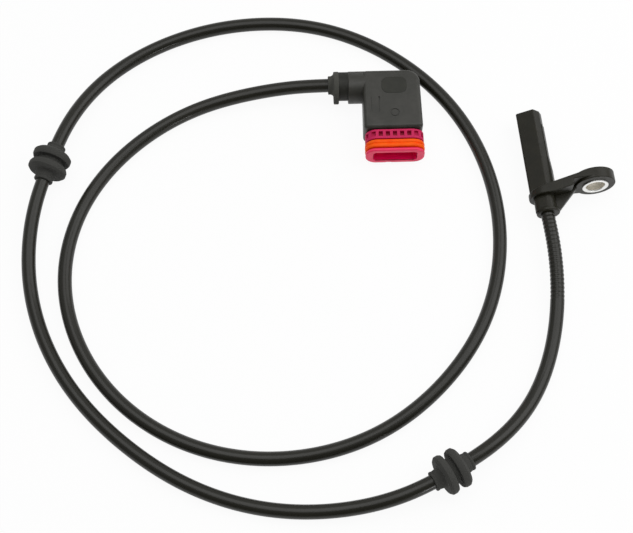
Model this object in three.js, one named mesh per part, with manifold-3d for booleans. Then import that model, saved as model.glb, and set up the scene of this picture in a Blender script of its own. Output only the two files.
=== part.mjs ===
// Wheel speed sensor: moulded head with a bolt-on lug, a lead with two grommets, and an angled two-way plug.
// Units are millimetres. +Y runs along the sensing tip, +Z is up, and z = 0 is the surface it lies on.

import * as THREE from 'three';
import * as BufferGeometryUtils from 'three/addons/utils/BufferGeometryUtils.js';
import Module from 'manifold-3d';

const wasm = await Module();
wasm.setup();

// Clearance between pieces, how far a cutting solid runs past a face, and how deep joined solids sink
const GAP = 0.3;
const CUT_PAST = 1.0;
const SINK = 0.5;

// Lead
const LEAD_D = 5.2;
const LEAD_SIDES = 12;
const LEAD_STEPS = 80;

// Sensor head, measured from the collar's axis and from the face where the lead leaves it
const HEAD_LENGTH = 42.8;
const COLLAR_D = 8.8;
const COLLAR_LENGTH = 1.8;
const ROOT_WIDTH = 7.9;
const ROOT_CORNER_R = 2.6;
const ROOT_SIDE = -0.35;
const PLATE_START = 6.4;
const PLATE_THICKNESS = 3.6;
const FLANGE_R = 6.2;

// Sensing tip: a rolled rectangle with one long corner cut off and a low rail beside the cut
const TIP_WIDTH = 8.5;
const TIP_DEPTH = 6.6;
const TIP_CORNER_R = 0.8;
const TIP_CHAMFER_WIDTH = 1.45;
const TIP_CHAMFER_DEPTH = 3.25;
const TIP_ROLL = THREE.MathUtils.degToRad(25.5);
const TIP_SIDE = -0.85;
const RAIL_WIDTH = 2.2;
const RAIL_HEIGHT = 0.25;
const RAIL_FOOT_HEIGHT = 0.65;
const RAIL_FOOT_LENGTH = 9.5;
const RAIL_TAPER = 6.5;
const RAIL_END = 5.5;

// Lug: a slanted arm, a round boss at its end, and a metal bush in the boss
const EYE_R = 7.6;
const EYE_THICKNESS = 4.3;
const EYE_OFFSET = 19.1;
const EYE_STEP = 3.0;
const EYE_RELIEF = 0.9;
const EYE_RELIEF_WIDTH = 1.6;
const ARM_THICKNESS = 4.2;
const ARM_SHORT = 1.25;
const BUSH_D = 9.8;
const BUSH_BORE_D = 7.0;
const BUSH_PROUD = 0.5;
const GUSSET_THICKNESS = 2.8;
const GUSSET_BITE = 0.8;

// Space and pieces inside the head
const HEAD_WALL = 1.1;
const CARRIER_THICKNESS = 1.4;
const CARRIER_LENGTH = 24.0;
const CHIP_LENGTH = 3.8;
const CHIP_THICKNESS = 1.2;
const MAGNET_LENGTH = 3.0;
const CAPACITOR_LENGTH = 2.2;
const CAPACITOR_WIDTH = 1.4;
const CAPACITOR_BACK = 1.2;
const STRIP_WIDTH = 0.9;
const STRIP_THICKNESS = 0.4;
const STRIP_LENGTH = 9.0;
const CRIMP_LENGTH = 3.0;
const CRIMP_WIDTH = 1.5;

// Insulated cores of the lead
const CORE_D = 1.4;
const CORE_PITCH = 1.9;
const CORE_BEND = 2.4;
const CORE_STEPS = 24;

// Grommets on the lead, and how far along it each one sits
const GROMMET_D = 14.6;
const GROMMET_DISC = 3.2;
const GROMMET_GROOVE = 2.1;
const GROMMET_GROOVE_D = 9.6;
const GROMMET_SLEEVE_D = 7.5;
const GROMMET_SLEEVE_END_D = 6.8;
const GROMMET_SLEEVE = 3.7;
const GROMMET_ROUND = 0.8;
const GROMMET_PLACES = [114.4, 358.6];

// Plug housing, measured from the crossing of the neck's axis and the mouth's middle line
const PLUG_AT = new THREE.Vector2(-62.1, 38.7);
const PLUG_TURN = THREE.MathUtils.degToRad(-4.2);
const PLUG_THICKNESS = 12.6;
const PLUG_WIDTH = 22.0;
const PLUG_SIDE = -0.35;
const PLUG_FRONT_FLARE = 0.6;
const PLUG_BACK = 4.3;
const PLUG_FRONT = 21.1;
const PLUG_CORNER_R = 5.0;
const PLUG_EDGE_R = 1.6;
const PLUG_BACK_WALL = 1.5;
const PLUG_POCKET_DEPTH = 14.0;
const CHAMBER_ROOM = 1.6;
const CHAMBER_STEP = 0.4;
const NECK_D = 12.5;
const NECK_END = 16.95;
const NECK_BORE_D = 7.6;

// Rear seal where the lead enters the plug
const SEAL_GROOVE_D = 11.1;
const SEAL_GROOVE = 3.3;
const SEAL_DISC_D = 12.6;
const SEAL_DISC = 2.0;
const SEAL_COLLAR_D = 7.1;
const SEAL_COLLAR = 2.1;
const SEAL_SPIGOT = 3.0;
const LEAD_BACK_OFFSET = 0.8;
const LEAD_UP_OFFSET = 0.8;

// Contact carrier and its mouth
const CARRIER_WIDTH = 18.9;
const CARRIER_HEIGHT = 8.2;
const CARRIER_CORNER_R = 3.0;
const CARRIER_BACK = 9.6;
const LIP_WIDTH = 22.5;
const LIP_HEIGHT = 10.2;
const LIP_CORNER_R = 4.2;
const LIP_LENGTH = 1.3;
const MOUTH_WIDTH = 16.3;
const MOUTH_HEIGHT = 5.9;
const MOUTH_CORNER_R = 1.2;
const MOUTH_DEPTH = 13.0;
const NOTCH_WIDTH = 2.2;
const NOTCH_HEIGHT = 0.7;
const NOTCH_SIDE = -2.3;

// Secondary lock with its row of windows
const LOCK_LENGTH = 4.0;
const LOCK_WIDTH = 22.3;
const LOCK_HEIGHT = 11.2;
const LOCK_CORNER_R = 4.6;
const WINDOW_WIDTH = 1.6;
const WINDOW_LENGTH = 2.0;
const WINDOW_PITCH = 2.7;
const WINDOW_DEPTH = 1.5;
const WINDOW_COUNT = 7;

// Ribbed lip seal
const LIP_SEAL_LENGTH = 3.1;
const LIP_SEAL_WIDTH = 22.7;
const LIP_SEAL_HEIGHT = 11.2;
const LIP_SEAL_RIBS = 2;
const LIP_SEAL_RIB_LENGTH = 0.93;
const LIP_SEAL_RIB_DEPTH = 0.5;

// Contacts and single wire seals in the plug
const CONTACT_PITCH = 5.0;
const CONTACT_WIDTH = 1.5;
const CONTACT_THICKNESS = 0.8;
const CONTACT_REACH = 5.0;
const CONTACT_TAIL = 3.0;
const WIRE_SEAL_D = 3.4;
const WIRE_SEAL_LENGTH = 2.6;

// Route of the lead's middle line, from the head to the plug, as it lies
const LEAD_POINTS = [
  [-10.6, -21.7, 6.2],
  [-10.4, -31.9, 6.2],
  [-11.7, -51.4, 4.5],
  [-17.2, -72.9, 2.8],
  [-27.7, -92.0, 3.5],
  [-46.6, -108.6, 7.0],
  [-59.8, -115.3, 7.3],
  [-73.7, -120.8, 7.0],
  [-100.3, -124.1, 3.7],
  [-126.3, -120.6, 2.7],
  [-150.8, -110.1, 2.6],
  [-172.2, -93.3, 2.6],
  [-189.1, -72.8, 2.6],
  [-200.3, -48.8, 2.7],
  [-204.3, -22.4, 3.6],
  [-200.1, 3.6, 6.8],
  [-194.9, 17.9, 7.3],
  [-189.0, 31.8, 6.8],
  [-171.5, 55.7, 3.4],
  [-145.1, 70.1, 2.7],
  [-114.8, 74.8, 2.6],
  [-85.3, 69.5, 2.6],
  [-59.2, 53.6, 2.6],
  [-40.0, 30.3, 2.6],
  [-29.8, 1.6, 2.6],
  [-29.3, -28.9, 2.6],
  [-38.8, -58.1, 2.6],
  [-57.8, -81.9, 2.6],
  [-83.2, -98.0, 2.6],
  [-113.3, -103.8, 2.6],
  [-143.3, -98.4, 2.6],
  [-168.9, -82.1, 2.6],
  [-185.9, -57.3, 2.6],
  [-191.3, -27.4, 2.6],
  [-183.0, 1.5, 2.6],
  [-163.3, 24.3, 2.7],
  [-136.7, 38.3, 3.3],
  [-114.7, 41.7, 5.4],
  [-97.8, 41.8, 7.0],
  [-87.0, 41.3, 7.1],
];

// Materials
function material(color, roughness, metalness) {
  return new THREE.MeshStandardMaterial({ color, roughness, metalness });
}
const mouldedBlack = material(0x2d2c24, 0.5, 0);
const leadBlack = material(0x2b2a23, 0.3, 0);
const rubberGrey = material(0x3a3a37, 0.7, 0);
const housingGrey = material(0x464641, 0.65, 0);
const tinPlate = material(0xd8d8d4, 0.3, 0.9);
const magenta = material(0xc4004e, 0.45, 0);
const orange = material(0xff6414, 0.5, 0);
const copper = material(0xc8834a, 0.3, 0.9);
const chipBlack = material(0x1c1c1e, 0.4, 0);
const magnetGrey = material(0x6a6a70, 0.4, 0.6);
const carrierWhite = material(0xd8d2c0, 0.6, 0);
const coreWhite = material(0xdcdcd8, 0.5, 0);
const coreBrown = material(0x6b4226, 0.5, 0);
const sealBlue = material(0x3b6f9a, 0.6, 0);

// Solids from three.js geometry, for joining and cutting
function toSolid(geometry) {
  const bare = geometry.clone();
  bare.deleteAttribute('normal');
  bare.deleteAttribute('uv');
  const merged = BufferGeometryUtils.mergeVertices(bare, 1e-5);
  return new wasm.Manifold(new wasm.Mesh({
    numProp: 3,
    vertProperties: new Float32Array(merged.attributes.position.array),
    triVerts: new Uint32Array(merged.index.array),
  }));
}

function toGeometry(solid) {
  const mesh = solid.getMesh();
  const geometry = new THREE.BufferGeometry();
  geometry.setAttribute('position', new THREE.BufferAttribute(mesh.vertProperties, 3));
  geometry.setIndex(new THREE.BufferAttribute(mesh.triVerts, 1));
  geometry.computeVertexNormals();
  return geometry;
}

function joined(...geometries) {
  return toGeometry(geometries.map(toSolid).reduce((whole, next) => whole.add(next)));
}

function cut(geometry, ...tools) {
  return toGeometry(tools.map(toSolid).reduce((whole, next) => whole.subtract(next), toSolid(geometry)));
}

function common(first, second) {
  return toGeometry(toSolid(first).intersect(toSolid(second)));
}

function mesh(name, geometry, finish) {
  const piece = new THREE.Mesh(geometry, finish);
  piece.name = name;
  return piece;
}

// Sections and simple bodies whose length runs along +Y from y = start
function roundedRect(width, height, radius) {
  const shape = new THREE.Shape();
  const x = width / 2;
  const y = height / 2;
  shape.moveTo(-x + radius, -y);
  shape.lineTo(x - radius, -y);
  shape.absarc(x - radius, -y + radius, radius, -Math.PI / 2, 0);
  shape.lineTo(x, y - radius);
  shape.absarc(x - radius, y - radius, radius, 0, Math.PI / 2);
  shape.lineTo(-x + radius, y);
  shape.absarc(-x + radius, y - radius, radius, Math.PI / 2, Math.PI);
  shape.lineTo(-x, -y + radius);
  shape.absarc(-x + radius, -y + radius, radius, Math.PI, Math.PI * 1.5);
  return shape;
}

function alongY(shape, start, length, curveSegments = 6) {
  const geometry = new THREE.ExtrudeGeometry(shape, { depth: length, bevelEnabled: false, curveSegments });
  geometry.rotateX(Math.PI / 2);
  geometry.translate(0, start + length, 0);
  return geometry;
}

function upwards(shape, bottom, height, curveSegments = 8) {
  const geometry = new THREE.ExtrudeGeometry(shape, { depth: height, bevelEnabled: false, curveSegments });
  geometry.translate(0, 0, bottom);
  return geometry;
}

function rodY(diameter, start, length, sides = 32) {
  const geometry = new THREE.CylinderGeometry(diameter / 2, diameter / 2, length, sides);
  geometry.translate(0, start + length / 2, 0);
  return geometry;
}

function rodX(diameter, start, length, sides = 32) {
  const geometry = rodY(diameter, start, length, sides);
  geometry.rotateZ(-Math.PI / 2);
  return geometry;
}

function boxAt(width, length, height, x, y, z) {
  const geometry = new THREE.BoxGeometry(width, length, height);
  geometry.translate(x, y, z);
  return geometry;
}

function turned(profile, sides = 32) {
  const points = profile.map(([r, y]) => new THREE.Vector2(r, y));
  return new THREE.LatheGeometry(points, sides);
}

// Places in the head that several pieces share
const plateEnd = PLATE_START + PLATE_THICKNESS;
const eyeStart = PLATE_START + EYE_STEP;
const eyeEnd = eyeStart + EYE_THICKNESS;
const eyeZ = EYE_R - FLANGE_R;
const eyeX = Math.sqrt(EYE_OFFSET ** 2 - eyeZ ** 2);
const tipStart = PLATE_START + PLATE_THICKNESS / 2;

// Room inside the tip: the widest box in its middle that keeps the wall's thickness at the long chamfer too
const chamferLength = Math.hypot(TIP_CHAMFER_WIDTH, TIP_CHAMFER_DEPTH);
const chamferWall = HEAD_WALL * (chamferLength - TIP_CHAMFER_WIDTH) / TIP_CHAMFER_DEPTH;
const cavityWidth = TIP_WIDTH - (TIP_CHAMFER_WIDTH + chamferWall) * 2;
const cavityHeight = TIP_DEPTH - HEAD_WALL * 2;
const cavityEnd = HEAD_LENGTH - HEAD_WALL;
const carrierEnd = cavityEnd - GAP;
const carrierStart = carrierEnd - CARRIER_LENGTH;
const cavityStart = carrierStart - STRIP_LENGTH / 2 - CRIMP_LENGTH - GAP;
const carrierWidth = cavityWidth - GAP * 2;
const carrierTop = GAP - cavityHeight / 2 + CARRIER_THICKNESS;
const coreBoreD = CORE_PITCH + CORE_D + GAP * 2;

// Section of the tip, before it is rolled
function tipSection() {
  const x = TIP_WIDTH / 2;
  const y = TIP_DEPTH / 2;
  const r = TIP_CORNER_R;
  const shape = new THREE.Shape();
  shape.moveTo(-x + r, -y);
  shape.lineTo(x - r, -y);
  shape.absarc(x - r, -y + r, r, -Math.PI / 2, 0);
  shape.lineTo(x, y - TIP_CHAMFER_DEPTH);
  shape.lineTo(x - TIP_CHAMFER_WIDTH, y);
  shape.lineTo(-x + r, y);
  shape.absarc(-x + r, y - r, r, Math.PI / 2, Math.PI);
  shape.lineTo(-x, -y + r);
  shape.absarc(-x + r, -y + r, r, Math.PI, Math.PI * 1.5);
  return shape;
}

// Rail on the tip's side face, seen from above: low along the tip and thicker towards the plate
function railPlan() {
  const face = TIP_WIDTH / 2;
  const end = HEAD_LENGTH - RAIL_END;
  const foot = tipStart + RAIL_FOOT_LENGTH;
  const shape = new THREE.Shape();
  shape.moveTo(face - SINK, tipStart);
  shape.lineTo(face + RAIL_FOOT_HEIGHT, tipStart);
  shape.lineTo(face + RAIL_FOOT_HEIGHT, foot);
  shape.lineTo(face + RAIL_HEIGHT, foot + RAIL_TAPER);
  shape.lineTo(face + RAIL_HEIGHT, end - RAIL_HEIGHT);
  shape.lineTo(face, end);
  shape.lineTo(face - SINK, end);
  return shape;
}

// Lug seen along the tip: two round ends joined by their outer tangents
function lugOutline() {
  const tilt = Math.atan2(eyeZ, eyeX);
  const spread = Math.acos((FLANGE_R - EYE_R) / EYE_OFFSET);
  const shape = new THREE.Shape();
  shape.absarc(0, 0, FLANGE_R, tilt + spread, tilt - spread + Math.PI * 2);
  shape.absarc(eyeX, eyeZ, EYE_R, tilt - spread, tilt + spread);
  return shape;
}

// Flange and arm seen from above: the side towards the tip slants to the boss's seat, and the other side
// follows it and then steps back before the boss
function armPlan() {
  const left = -FLANGE_R * 2;
  const reach = eyeX - ARM_SHORT;
  const slope = (eyeEnd - plateEnd) / reach;
  const step = eyeX - EYE_R - EYE_RELIEF_WIDTH;
  const shape = new THREE.Shape();
  shape.moveTo(left, PLATE_START);
  shape.lineTo((ARM_THICKNESS - PLATE_THICKNESS) / slope, PLATE_START);
  shape.lineTo(step, plateEnd + slope * step - ARM_THICKNESS);
  shape.lineTo(step, eyeStart + EYE_RELIEF);
  shape.lineTo(reach, eyeStart + EYE_RELIEF);
  shape.lineTo(reach, eyeEnd);
  shape.lineTo(left, plateEnd + slope * left);
  return shape;
}

// Web in the corner between the root and the arm, which runs into the boss
function gussetPlan() {
  const reach = eyeX - EYE_R + GUSSET_BITE;
  const shape = new THREE.Shape();
  shape.moveTo(0, COLLAR_LENGTH / 2);
  shape.lineTo(COLLAR_D / 2, COLLAR_LENGTH / 2);
  shape.lineTo(reach, eyeStart);
  shape.lineTo(reach, eyeStart + EYE_RELIEF + SINK);
  shape.lineTo(0, tipStart);
  return shape;
}

// Sensor head
function rolled(geometry) {
  return geometry.rotateY(-TIP_ROLL);
}

function sensorHousingGeometry() {
  const rootSection = roundedRect(ROOT_WIDTH, ROOT_WIDTH, ROOT_CORNER_R);
  const root = rolled(alongY(rootSection, COLLAR_LENGTH / 2, tipStart)).translate(ROOT_SIDE, 0, 0);
  const tip = joined(
    alongY(tipSection(), tipStart, HEAD_LENGTH - tipStart, 4),
    upwards(railPlan(), -RAIL_WIDTH - SINK, RAIL_WIDTH),
  );
  rolled(tip).translate(TIP_SIDE, 0, 0);
  const arm = common(
    alongY(lugOutline(), 0, eyeEnd + CUT_PAST, 20),
    upwards(armPlan(), -EYE_R * 2, EYE_R * 4),
  );
  const boss = rodY(EYE_R * 2, eyeStart, EYE_THICKNESS, 56);
  boss.translate(eyeX, 0, eyeZ);
  const web = upwards(gussetPlan(), -GUSSET_THICKNESS / 2, GUSSET_THICKNESS);
  const body = joined(rodY(COLLAR_D, 0, COLLAR_LENGTH), root, tip, arm, boss, web);
  const eyeHole = rodY(BUSH_D + GAP * 2, eyeStart - CUT_PAST, EYE_THICKNESS + CUT_PAST * 2);
  eyeHole.translate(eyeX, 0, eyeZ);
  const room = alongY(roundedRect(cavityWidth, cavityHeight, GAP), cavityStart, cavityEnd - cavityStart, 3);
  const cavity = rolled(room).translate(TIP_SIDE, 0, 0);
  const coreBore = rodY(coreBoreD, -CUT_PAST, cavityStart + CUT_PAST * 2, 20);
  coreBore.translate(TIP_SIDE, 0, 0);
  return cut(body, eyeHole, cavity, coreBore);
}

function bushGeometry() {
  const inner = BUSH_BORE_D / 2;
  const outer = BUSH_D / 2;
  const start = eyeStart - BUSH_PROUD;
  const edge = GAP;
  const bush = turned([
    [inner + edge, start], [outer - edge, start], [outer, start + edge], [outer, eyeEnd - edge],
    [outer - edge, eyeEnd], [inner + edge, eyeEnd], [inner, eyeEnd - edge], [inner, start + edge],
    [inner + edge, start],
  ]);
  bush.translate(eyeX, 0, eyeZ);
  return bush;
}

// Chip, magnet, capacitor, strips, crimps and cores on their carrier, turned with the tip
function buildInsides() {
  const inside = new THREE.Group();
  const chipZ = carrierTop + GAP + CHIP_THICKNESS / 2;
  const chipY = carrierEnd - CHIP_LENGTH / 2;
  const magnetY = chipY - CHIP_LENGTH / 2 - GAP - MAGNET_LENGTH / 2;
  const capacitorY = magnetY - MAGNET_LENGTH / 2 - CAPACITOR_BACK - CAPACITOR_LENGTH / 2;
  const capacitorZ = carrierTop + GAP + CAPACITOR_WIDTH / 2;
  const carrierY = carrierEnd - CARRIER_LENGTH / 2;
  const carrierZ = carrierTop - CARRIER_THICKNESS / 2;
  const stripZ = carrierTop + GAP + STRIP_THICKNESS / 2;
  const crimpY = carrierStart - STRIP_LENGTH / 2 - GAP - CRIMP_LENGTH / 2;
  const chipCarrier = boxAt(carrierWidth, CARRIER_LENGTH, CARRIER_THICKNESS, 0, carrierY, carrierZ);
  const chip = boxAt(carrierWidth, CHIP_LENGTH, CHIP_THICKNESS, 0, chipY, chipZ);
  const magnet = boxAt(carrierWidth, MAGNET_LENGTH, CHIP_THICKNESS, 0, magnetY, chipZ);
  const capacitor = boxAt(carrierWidth - GAP, CAPACITOR_LENGTH, CAPACITOR_WIDTH, 0, capacitorY, capacitorZ);
  inside.add(mesh('chip_carrier', chipCarrier, carrierWhite));
  inside.add(mesh('hall_chip', chip, chipBlack));
  inside.add(mesh('bias_magnet', magnet, magnetGrey));
  inside.add(mesh('chip_capacitor', capacitor, carrierWhite));
  [-1, 1].forEach((side, index) => {
    const x = side * CORE_PITCH / 2;
    const strip = boxAt(STRIP_WIDTH, STRIP_LENGTH, STRIP_THICKNESS, x, carrierStart, stripZ);
    const crimp = boxAt(CRIMP_WIDTH, CRIMP_LENGTH, CRIMP_WIDTH, x, crimpY, 0);
    const core = rodY(CORE_D, GAP, crimpY - CRIMP_LENGTH / 2 - GAP * 2, 16);
    core.translate(x, 0, 0);
    inside.add(mesh(`lead_strip_${index + 1}`, strip, copper));
    inside.add(mesh(`core_crimp_${index + 1}`, crimp, copper));
    inside.add(mesh(`head_core_${index + 1}`, core, index ? coreBrown : coreWhite));
  });
  inside.rotation.y = -TIP_ROLL;
  inside.position.x = TIP_SIDE;
  return inside;
}

// The head stands on its flange and boss, with its origin midway between its outer ends
function buildHead() {
  const head = new THREE.Group();
  head.add(mesh('sensor_housing', sensorHousingGeometry(), mouldedBlack));
  head.add(mesh('mounting_bush', bushGeometry(), tinPlate));
  head.add(buildInsides());
  head.position.set((FLANGE_R - eyeX - EYE_R) / 2, -HEAD_LENGTH / 2, FLANGE_R);
  return head;
}

// Lead and its grommets
const leadPoints = LEAD_POINTS.map((point) => new THREE.Vector3(...point));
const route = new THREE.CatmullRomCurve3(leadPoints, false, 'centripetal');

function leadGeometry(diameter) {
  const section = new THREE.Shape();
  for (let i = 0; i < LEAD_SIDES; i += 1) {
    const angle = (i + 0.5) * Math.PI * 2 / LEAD_SIDES;
    const x = Math.cos(angle) * diameter / 2;
    const y = Math.sin(angle) * diameter / 2;
    if (i) section.lineTo(x, y);
    else section.moveTo(x, y);
  }
  return new THREE.ExtrudeGeometry(section, { steps: LEAD_STEPS, extrudePath: route, bevelEnabled: false });
}

// Grommet turned about the lead where it sits, and bored along the lead's own bend
function grommetGeometry(place) {
  const disc = GROMMET_D / 2;
  const round = GROMMET_ROUND;
  const groove = GROMMET_GROOVE / 2;
  const discEnd = groove + GROMMET_DISC;
  const end = discEnd + GROMMET_SLEEVE;
  const half = [
    [GROMMET_GROOVE_D / 2, groove], [disc - round, groove], [disc, groove + round],
    [disc, discEnd - round], [disc - round, discEnd], [GROMMET_SLEEVE_D / 2, discEnd],
    [GROMMET_SLEEVE_END_D / 2, end], [0, end],
  ];
  const mirrored = half.map(([r, y]) => [r, -y]).reverse();
  const body = turned([...mirrored, ...half], 28);
  const share = place / route.getLength();
  const along = route.getTangentAt(share).setZ(0).normalize();
  body.applyQuaternion(new THREE.Quaternion().setFromUnitVectors(new THREE.Vector3(0, 1, 0), along));
  body.translate(...route.getPointAt(share));
  return cut(body, leadGeometry(LEAD_D + GAP * 2));
}

function buildLead() {
  const lead = new THREE.Group();
  lead.add(mesh('lead_jacket', leadGeometry(LEAD_D), leadBlack));
  GROMMET_PLACES.forEach((place, order) => {
    lead.add(mesh(`grommet_${order + 1}`, grommetGeometry(place), rubberGrey));
  });
  return lead;
}

// Plug: +X local points away from the lead's entry, and the mouth faces -Y
function plugPlan(inset) {
  const back = PLUG_BACK - inset;
  const front = -PLUG_FRONT;
  const x = PLUG_WIDTH / 2 - inset;
  const frontX = x + PLUG_FRONT_FLARE / 2;
  const radius = PLUG_CORNER_R - inset;
  const shape = new THREE.Shape();
  shape.moveTo(-frontX, front);
  shape.lineTo(frontX, front);
  shape.lineTo(x, back - radius);
  shape.absarc(x - radius, back - radius, radius, 0, Math.PI / 2);
  shape.lineTo(-x, back);
  return shape;
}

// Body of three layers, whose edges step in where a round of that radius would be at 45 degrees
function plugBodyGeometry() {
  const tall = PLUG_THICKNESS;
  const step = PLUG_EDGE_R * (1 - Math.SQRT1_2);
  const body = joined(
    upwards(plugPlan(PLUG_EDGE_R), -tall / 2, tall),
    upwards(plugPlan(step), step - tall / 2, tall - step * 2),
    upwards(plugPlan(0), PLUG_EDGE_R - tall / 2, tall - PLUG_EDGE_R * 2),
  );
  return body.translate(PLUG_SIDE, 0, 0);
}

function plugHousingGeometry() {
  const neck = rodX(NECK_D, -NECK_END, NECK_END, 40);
  const pocketWidth = CARRIER_WIDTH + GAP * 2;
  const pocketHeight = CARRIER_HEIGHT + GAP * 2;
  const pocketSection = roundedRect(pocketWidth, pocketHeight, CARRIER_CORNER_R);
  const pocket = alongY(pocketSection, -PLUG_FRONT - CUT_PAST, PLUG_POCKET_DEPTH + CUT_PAST);
  const chamberBack = PLUG_BACK - PLUG_BACK_WALL;
  const chamberFront = PLUG_POCKET_DEPTH - PLUG_FRONT - CUT_PAST;
  const chamberWidth = CONTACT_PITCH + WIRE_SEAL_D + CHAMBER_ROOM * 2;
  const chamber = boxAt(
    chamberWidth, chamberBack - chamberFront, pocketHeight - CHAMBER_STEP * 2,
    0, (chamberBack + chamberFront) / 2, 0);
  const bore = rodX(NECK_BORE_D, -NECK_END - CUT_PAST, NECK_END + CUT_PAST, 24);
  return cut(joined(plugBodyGeometry(), neck), pocket, chamber, bore);
}

// Rear seal, whose groove sits midway between the neck's axis and the lead's
const leadEndX = -NECK_END - GAP - SEAL_GROOVE - SEAL_DISC - SEAL_COLLAR;

function rearSealGeometry() {
  const start = -NECK_END - GAP;
  const collar = rodX(SEAL_COLLAR_D, leadEndX, SEAL_COLLAR + SINK, 28);
  collar.translate(0, LEAD_BACK_OFFSET, LEAD_UP_OFFSET);
  const groove = rodX(SEAL_GROOVE_D, start - SEAL_GROOVE - SINK, SEAL_GROOVE + SINK);
  groove.translate(0, LEAD_BACK_OFFSET / 2, LEAD_UP_OFFSET / 2);
  const whole = joined(
    groove,
    rodX(SEAL_DISC_D, start - SEAL_GROOVE - SEAL_DISC, SEAL_DISC, 40),
    rodX(NECK_BORE_D - GAP * 2, start - SINK, SEAL_SPIGOT + SINK, 24),
    collar,
  );
  const coreHole = rodX(coreBoreD, leadEndX - CUT_PAST, -leadEndX, 20);
  coreHole.translate(0, LEAD_BACK_OFFSET, LEAD_UP_OFFSET);
  return cut(whole, coreHole);
}

// Places along the plug's mouth
const lockEnd = -PLUG_FRONT - GAP;
const sealEnd = lockEnd - LOCK_LENGTH - GAP;
const lipEnd = sealEnd - LIP_SEAL_LENGTH - GAP;
const mouthY = lipEnd - LIP_LENGTH;
const contactTip = mouthY + MOUTH_DEPTH - CONTACT_REACH;
const contactEnd = CONTACT_TAIL - CARRIER_BACK;

function contactCarrierGeometry() {
  const coreStart = mouthY + SINK;
  const core = alongY(
    roundedRect(CARRIER_WIDTH, CARRIER_HEIGHT, CARRIER_CORNER_R), coreStart, -CARRIER_BACK - coreStart);
  const lip = alongY(roundedRect(LIP_WIDTH, LIP_HEIGHT, LIP_CORNER_R), mouthY, LIP_LENGTH);
  const mouthSection = roundedRect(MOUTH_WIDTH, MOUTH_HEIGHT, MOUTH_CORNER_R);
  const mouth = alongY(mouthSection, mouthY - CUT_PAST, MOUTH_DEPTH + CUT_PAST);
  const notch = boxAt(NOTCH_WIDTH, LIP_LENGTH * 2, NOTCH_HEIGHT * 2, NOTCH_SIDE, mouthY, -LIP_HEIGHT / 2);
  const slotStart = mouthY + MOUTH_DEPTH - CUT_PAST;
  const slotEnd = CUT_PAST - CARRIER_BACK;
  const slots = [-1, 1].map((side) => boxAt(
    CONTACT_WIDTH + GAP * 2, slotEnd - slotStart, CONTACT_THICKNESS + GAP * 2,
    side * CONTACT_PITCH / 2, (slotStart + slotEnd) / 2, 0));
  return cut(joined(core, lip), mouth, notch, ...slots);
}

function ringGeometry(width, height, radius, start, length) {
  const outer = alongY(roundedRect(width, height, radius), start, length);
  const hole = roundedRect(CARRIER_WIDTH + GAP * 2, CARRIER_HEIGHT + GAP * 2, CARRIER_CORNER_R + GAP);
  return cut(outer, alongY(hole, start - CUT_PAST, length + CUT_PAST * 2));
}

function secondaryLockGeometry() {
  const start = lockEnd - LOCK_LENGTH;
  const middle = lockEnd - LOCK_LENGTH / 2;
  const deep = WINDOW_DEPTH * 2;
  const ring = ringGeometry(LOCK_WIDTH, LOCK_HEIGHT, LOCK_CORNER_R, start, LOCK_LENGTH);
  const windows = [];
  [-1, 1].forEach((side) => {
    for (let i = 0; i < WINDOW_COUNT; i += 1) {
      const x = (i - (WINDOW_COUNT - 1) / 2) * WINDOW_PITCH;
      windows.push(boxAt(WINDOW_WIDTH, WINDOW_LENGTH, deep, x, middle, side * LOCK_HEIGHT / 2));
    }
    windows.push(boxAt(deep, WINDOW_LENGTH, WINDOW_WIDTH, side * LOCK_WIDTH / 2, middle, 0));
  });
  return cut(ring, ...windows);
}

function lipSealGeometry() {
  const start = sealEnd - LIP_SEAL_LENGTH;
  const pitch = LIP_SEAL_LENGTH / LIP_SEAL_RIBS;
  const inset = LIP_SEAL_RIB_DEPTH;
  const ring = ringGeometry(
    LIP_SEAL_WIDTH - inset * 2, LIP_SEAL_HEIGHT - inset * 2, LOCK_CORNER_R - inset, start, LIP_SEAL_LENGTH);
  const ribs = [];
  for (let i = 0; i < LIP_SEAL_RIBS; i += 1) {
    const ribStart = start + pitch * (i + 0.5) - LIP_SEAL_RIB_LENGTH / 2;
    ribs.push(ringGeometry(LIP_SEAL_WIDTH, LIP_SEAL_HEIGHT, LOCK_CORNER_R, ribStart, LIP_SEAL_RIB_LENGTH));
  }
  return joined(ring, ...ribs);
}

// Core from its contact round the bend into the neck, rising to the lead's height
function plugCoreGeometry(side) {
  const x = side * CONTACT_PITCH / 2;
  const y = LEAD_BACK_OFFSET + side * CORE_PITCH / 2;
  const bendZ = LEAD_UP_OFFSET / 3;
  const bendStart = new THREE.Vector3(x, y - CORE_BEND, 0);
  const bendEnd = new THREE.Vector3(x - CORE_BEND, y, bendZ);
  const path = new THREE.CurvePath();
  path.add(new THREE.LineCurve3(new THREE.Vector3(x, contactEnd + GAP * 2, 0), bendStart));
  path.add(new THREE.QuadraticBezierCurve3(bendStart, new THREE.Vector3(x, y, 0), bendEnd));
  path.add(new THREE.LineCurve3(bendEnd, new THREE.Vector3(leadEndX + GAP, y, LEAD_UP_OFFSET)));
  const section = new THREE.Shape();
  section.absarc(0, 0, CORE_D / 2, 0, Math.PI * 2);
  const settings = { steps: CORE_STEPS, extrudePath: path, bevelEnabled: false, curveSegments: 4 };
  return new THREE.ExtrudeGeometry(section, settings);
}

function wireSealGeometry(side) {
  const bore = CORE_D / 2 + GAP;
  const outer = WIRE_SEAL_D / 2;
  const start = contactEnd + GAP;
  const end = start + WIRE_SEAL_LENGTH;
  const seal = turned([[bore, start], [outer, start], [outer, end], [bore, end], [bore, start]], 20);
  return seal.translate(side * CONTACT_PITCH / 2, 0, 0);
}

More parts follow.
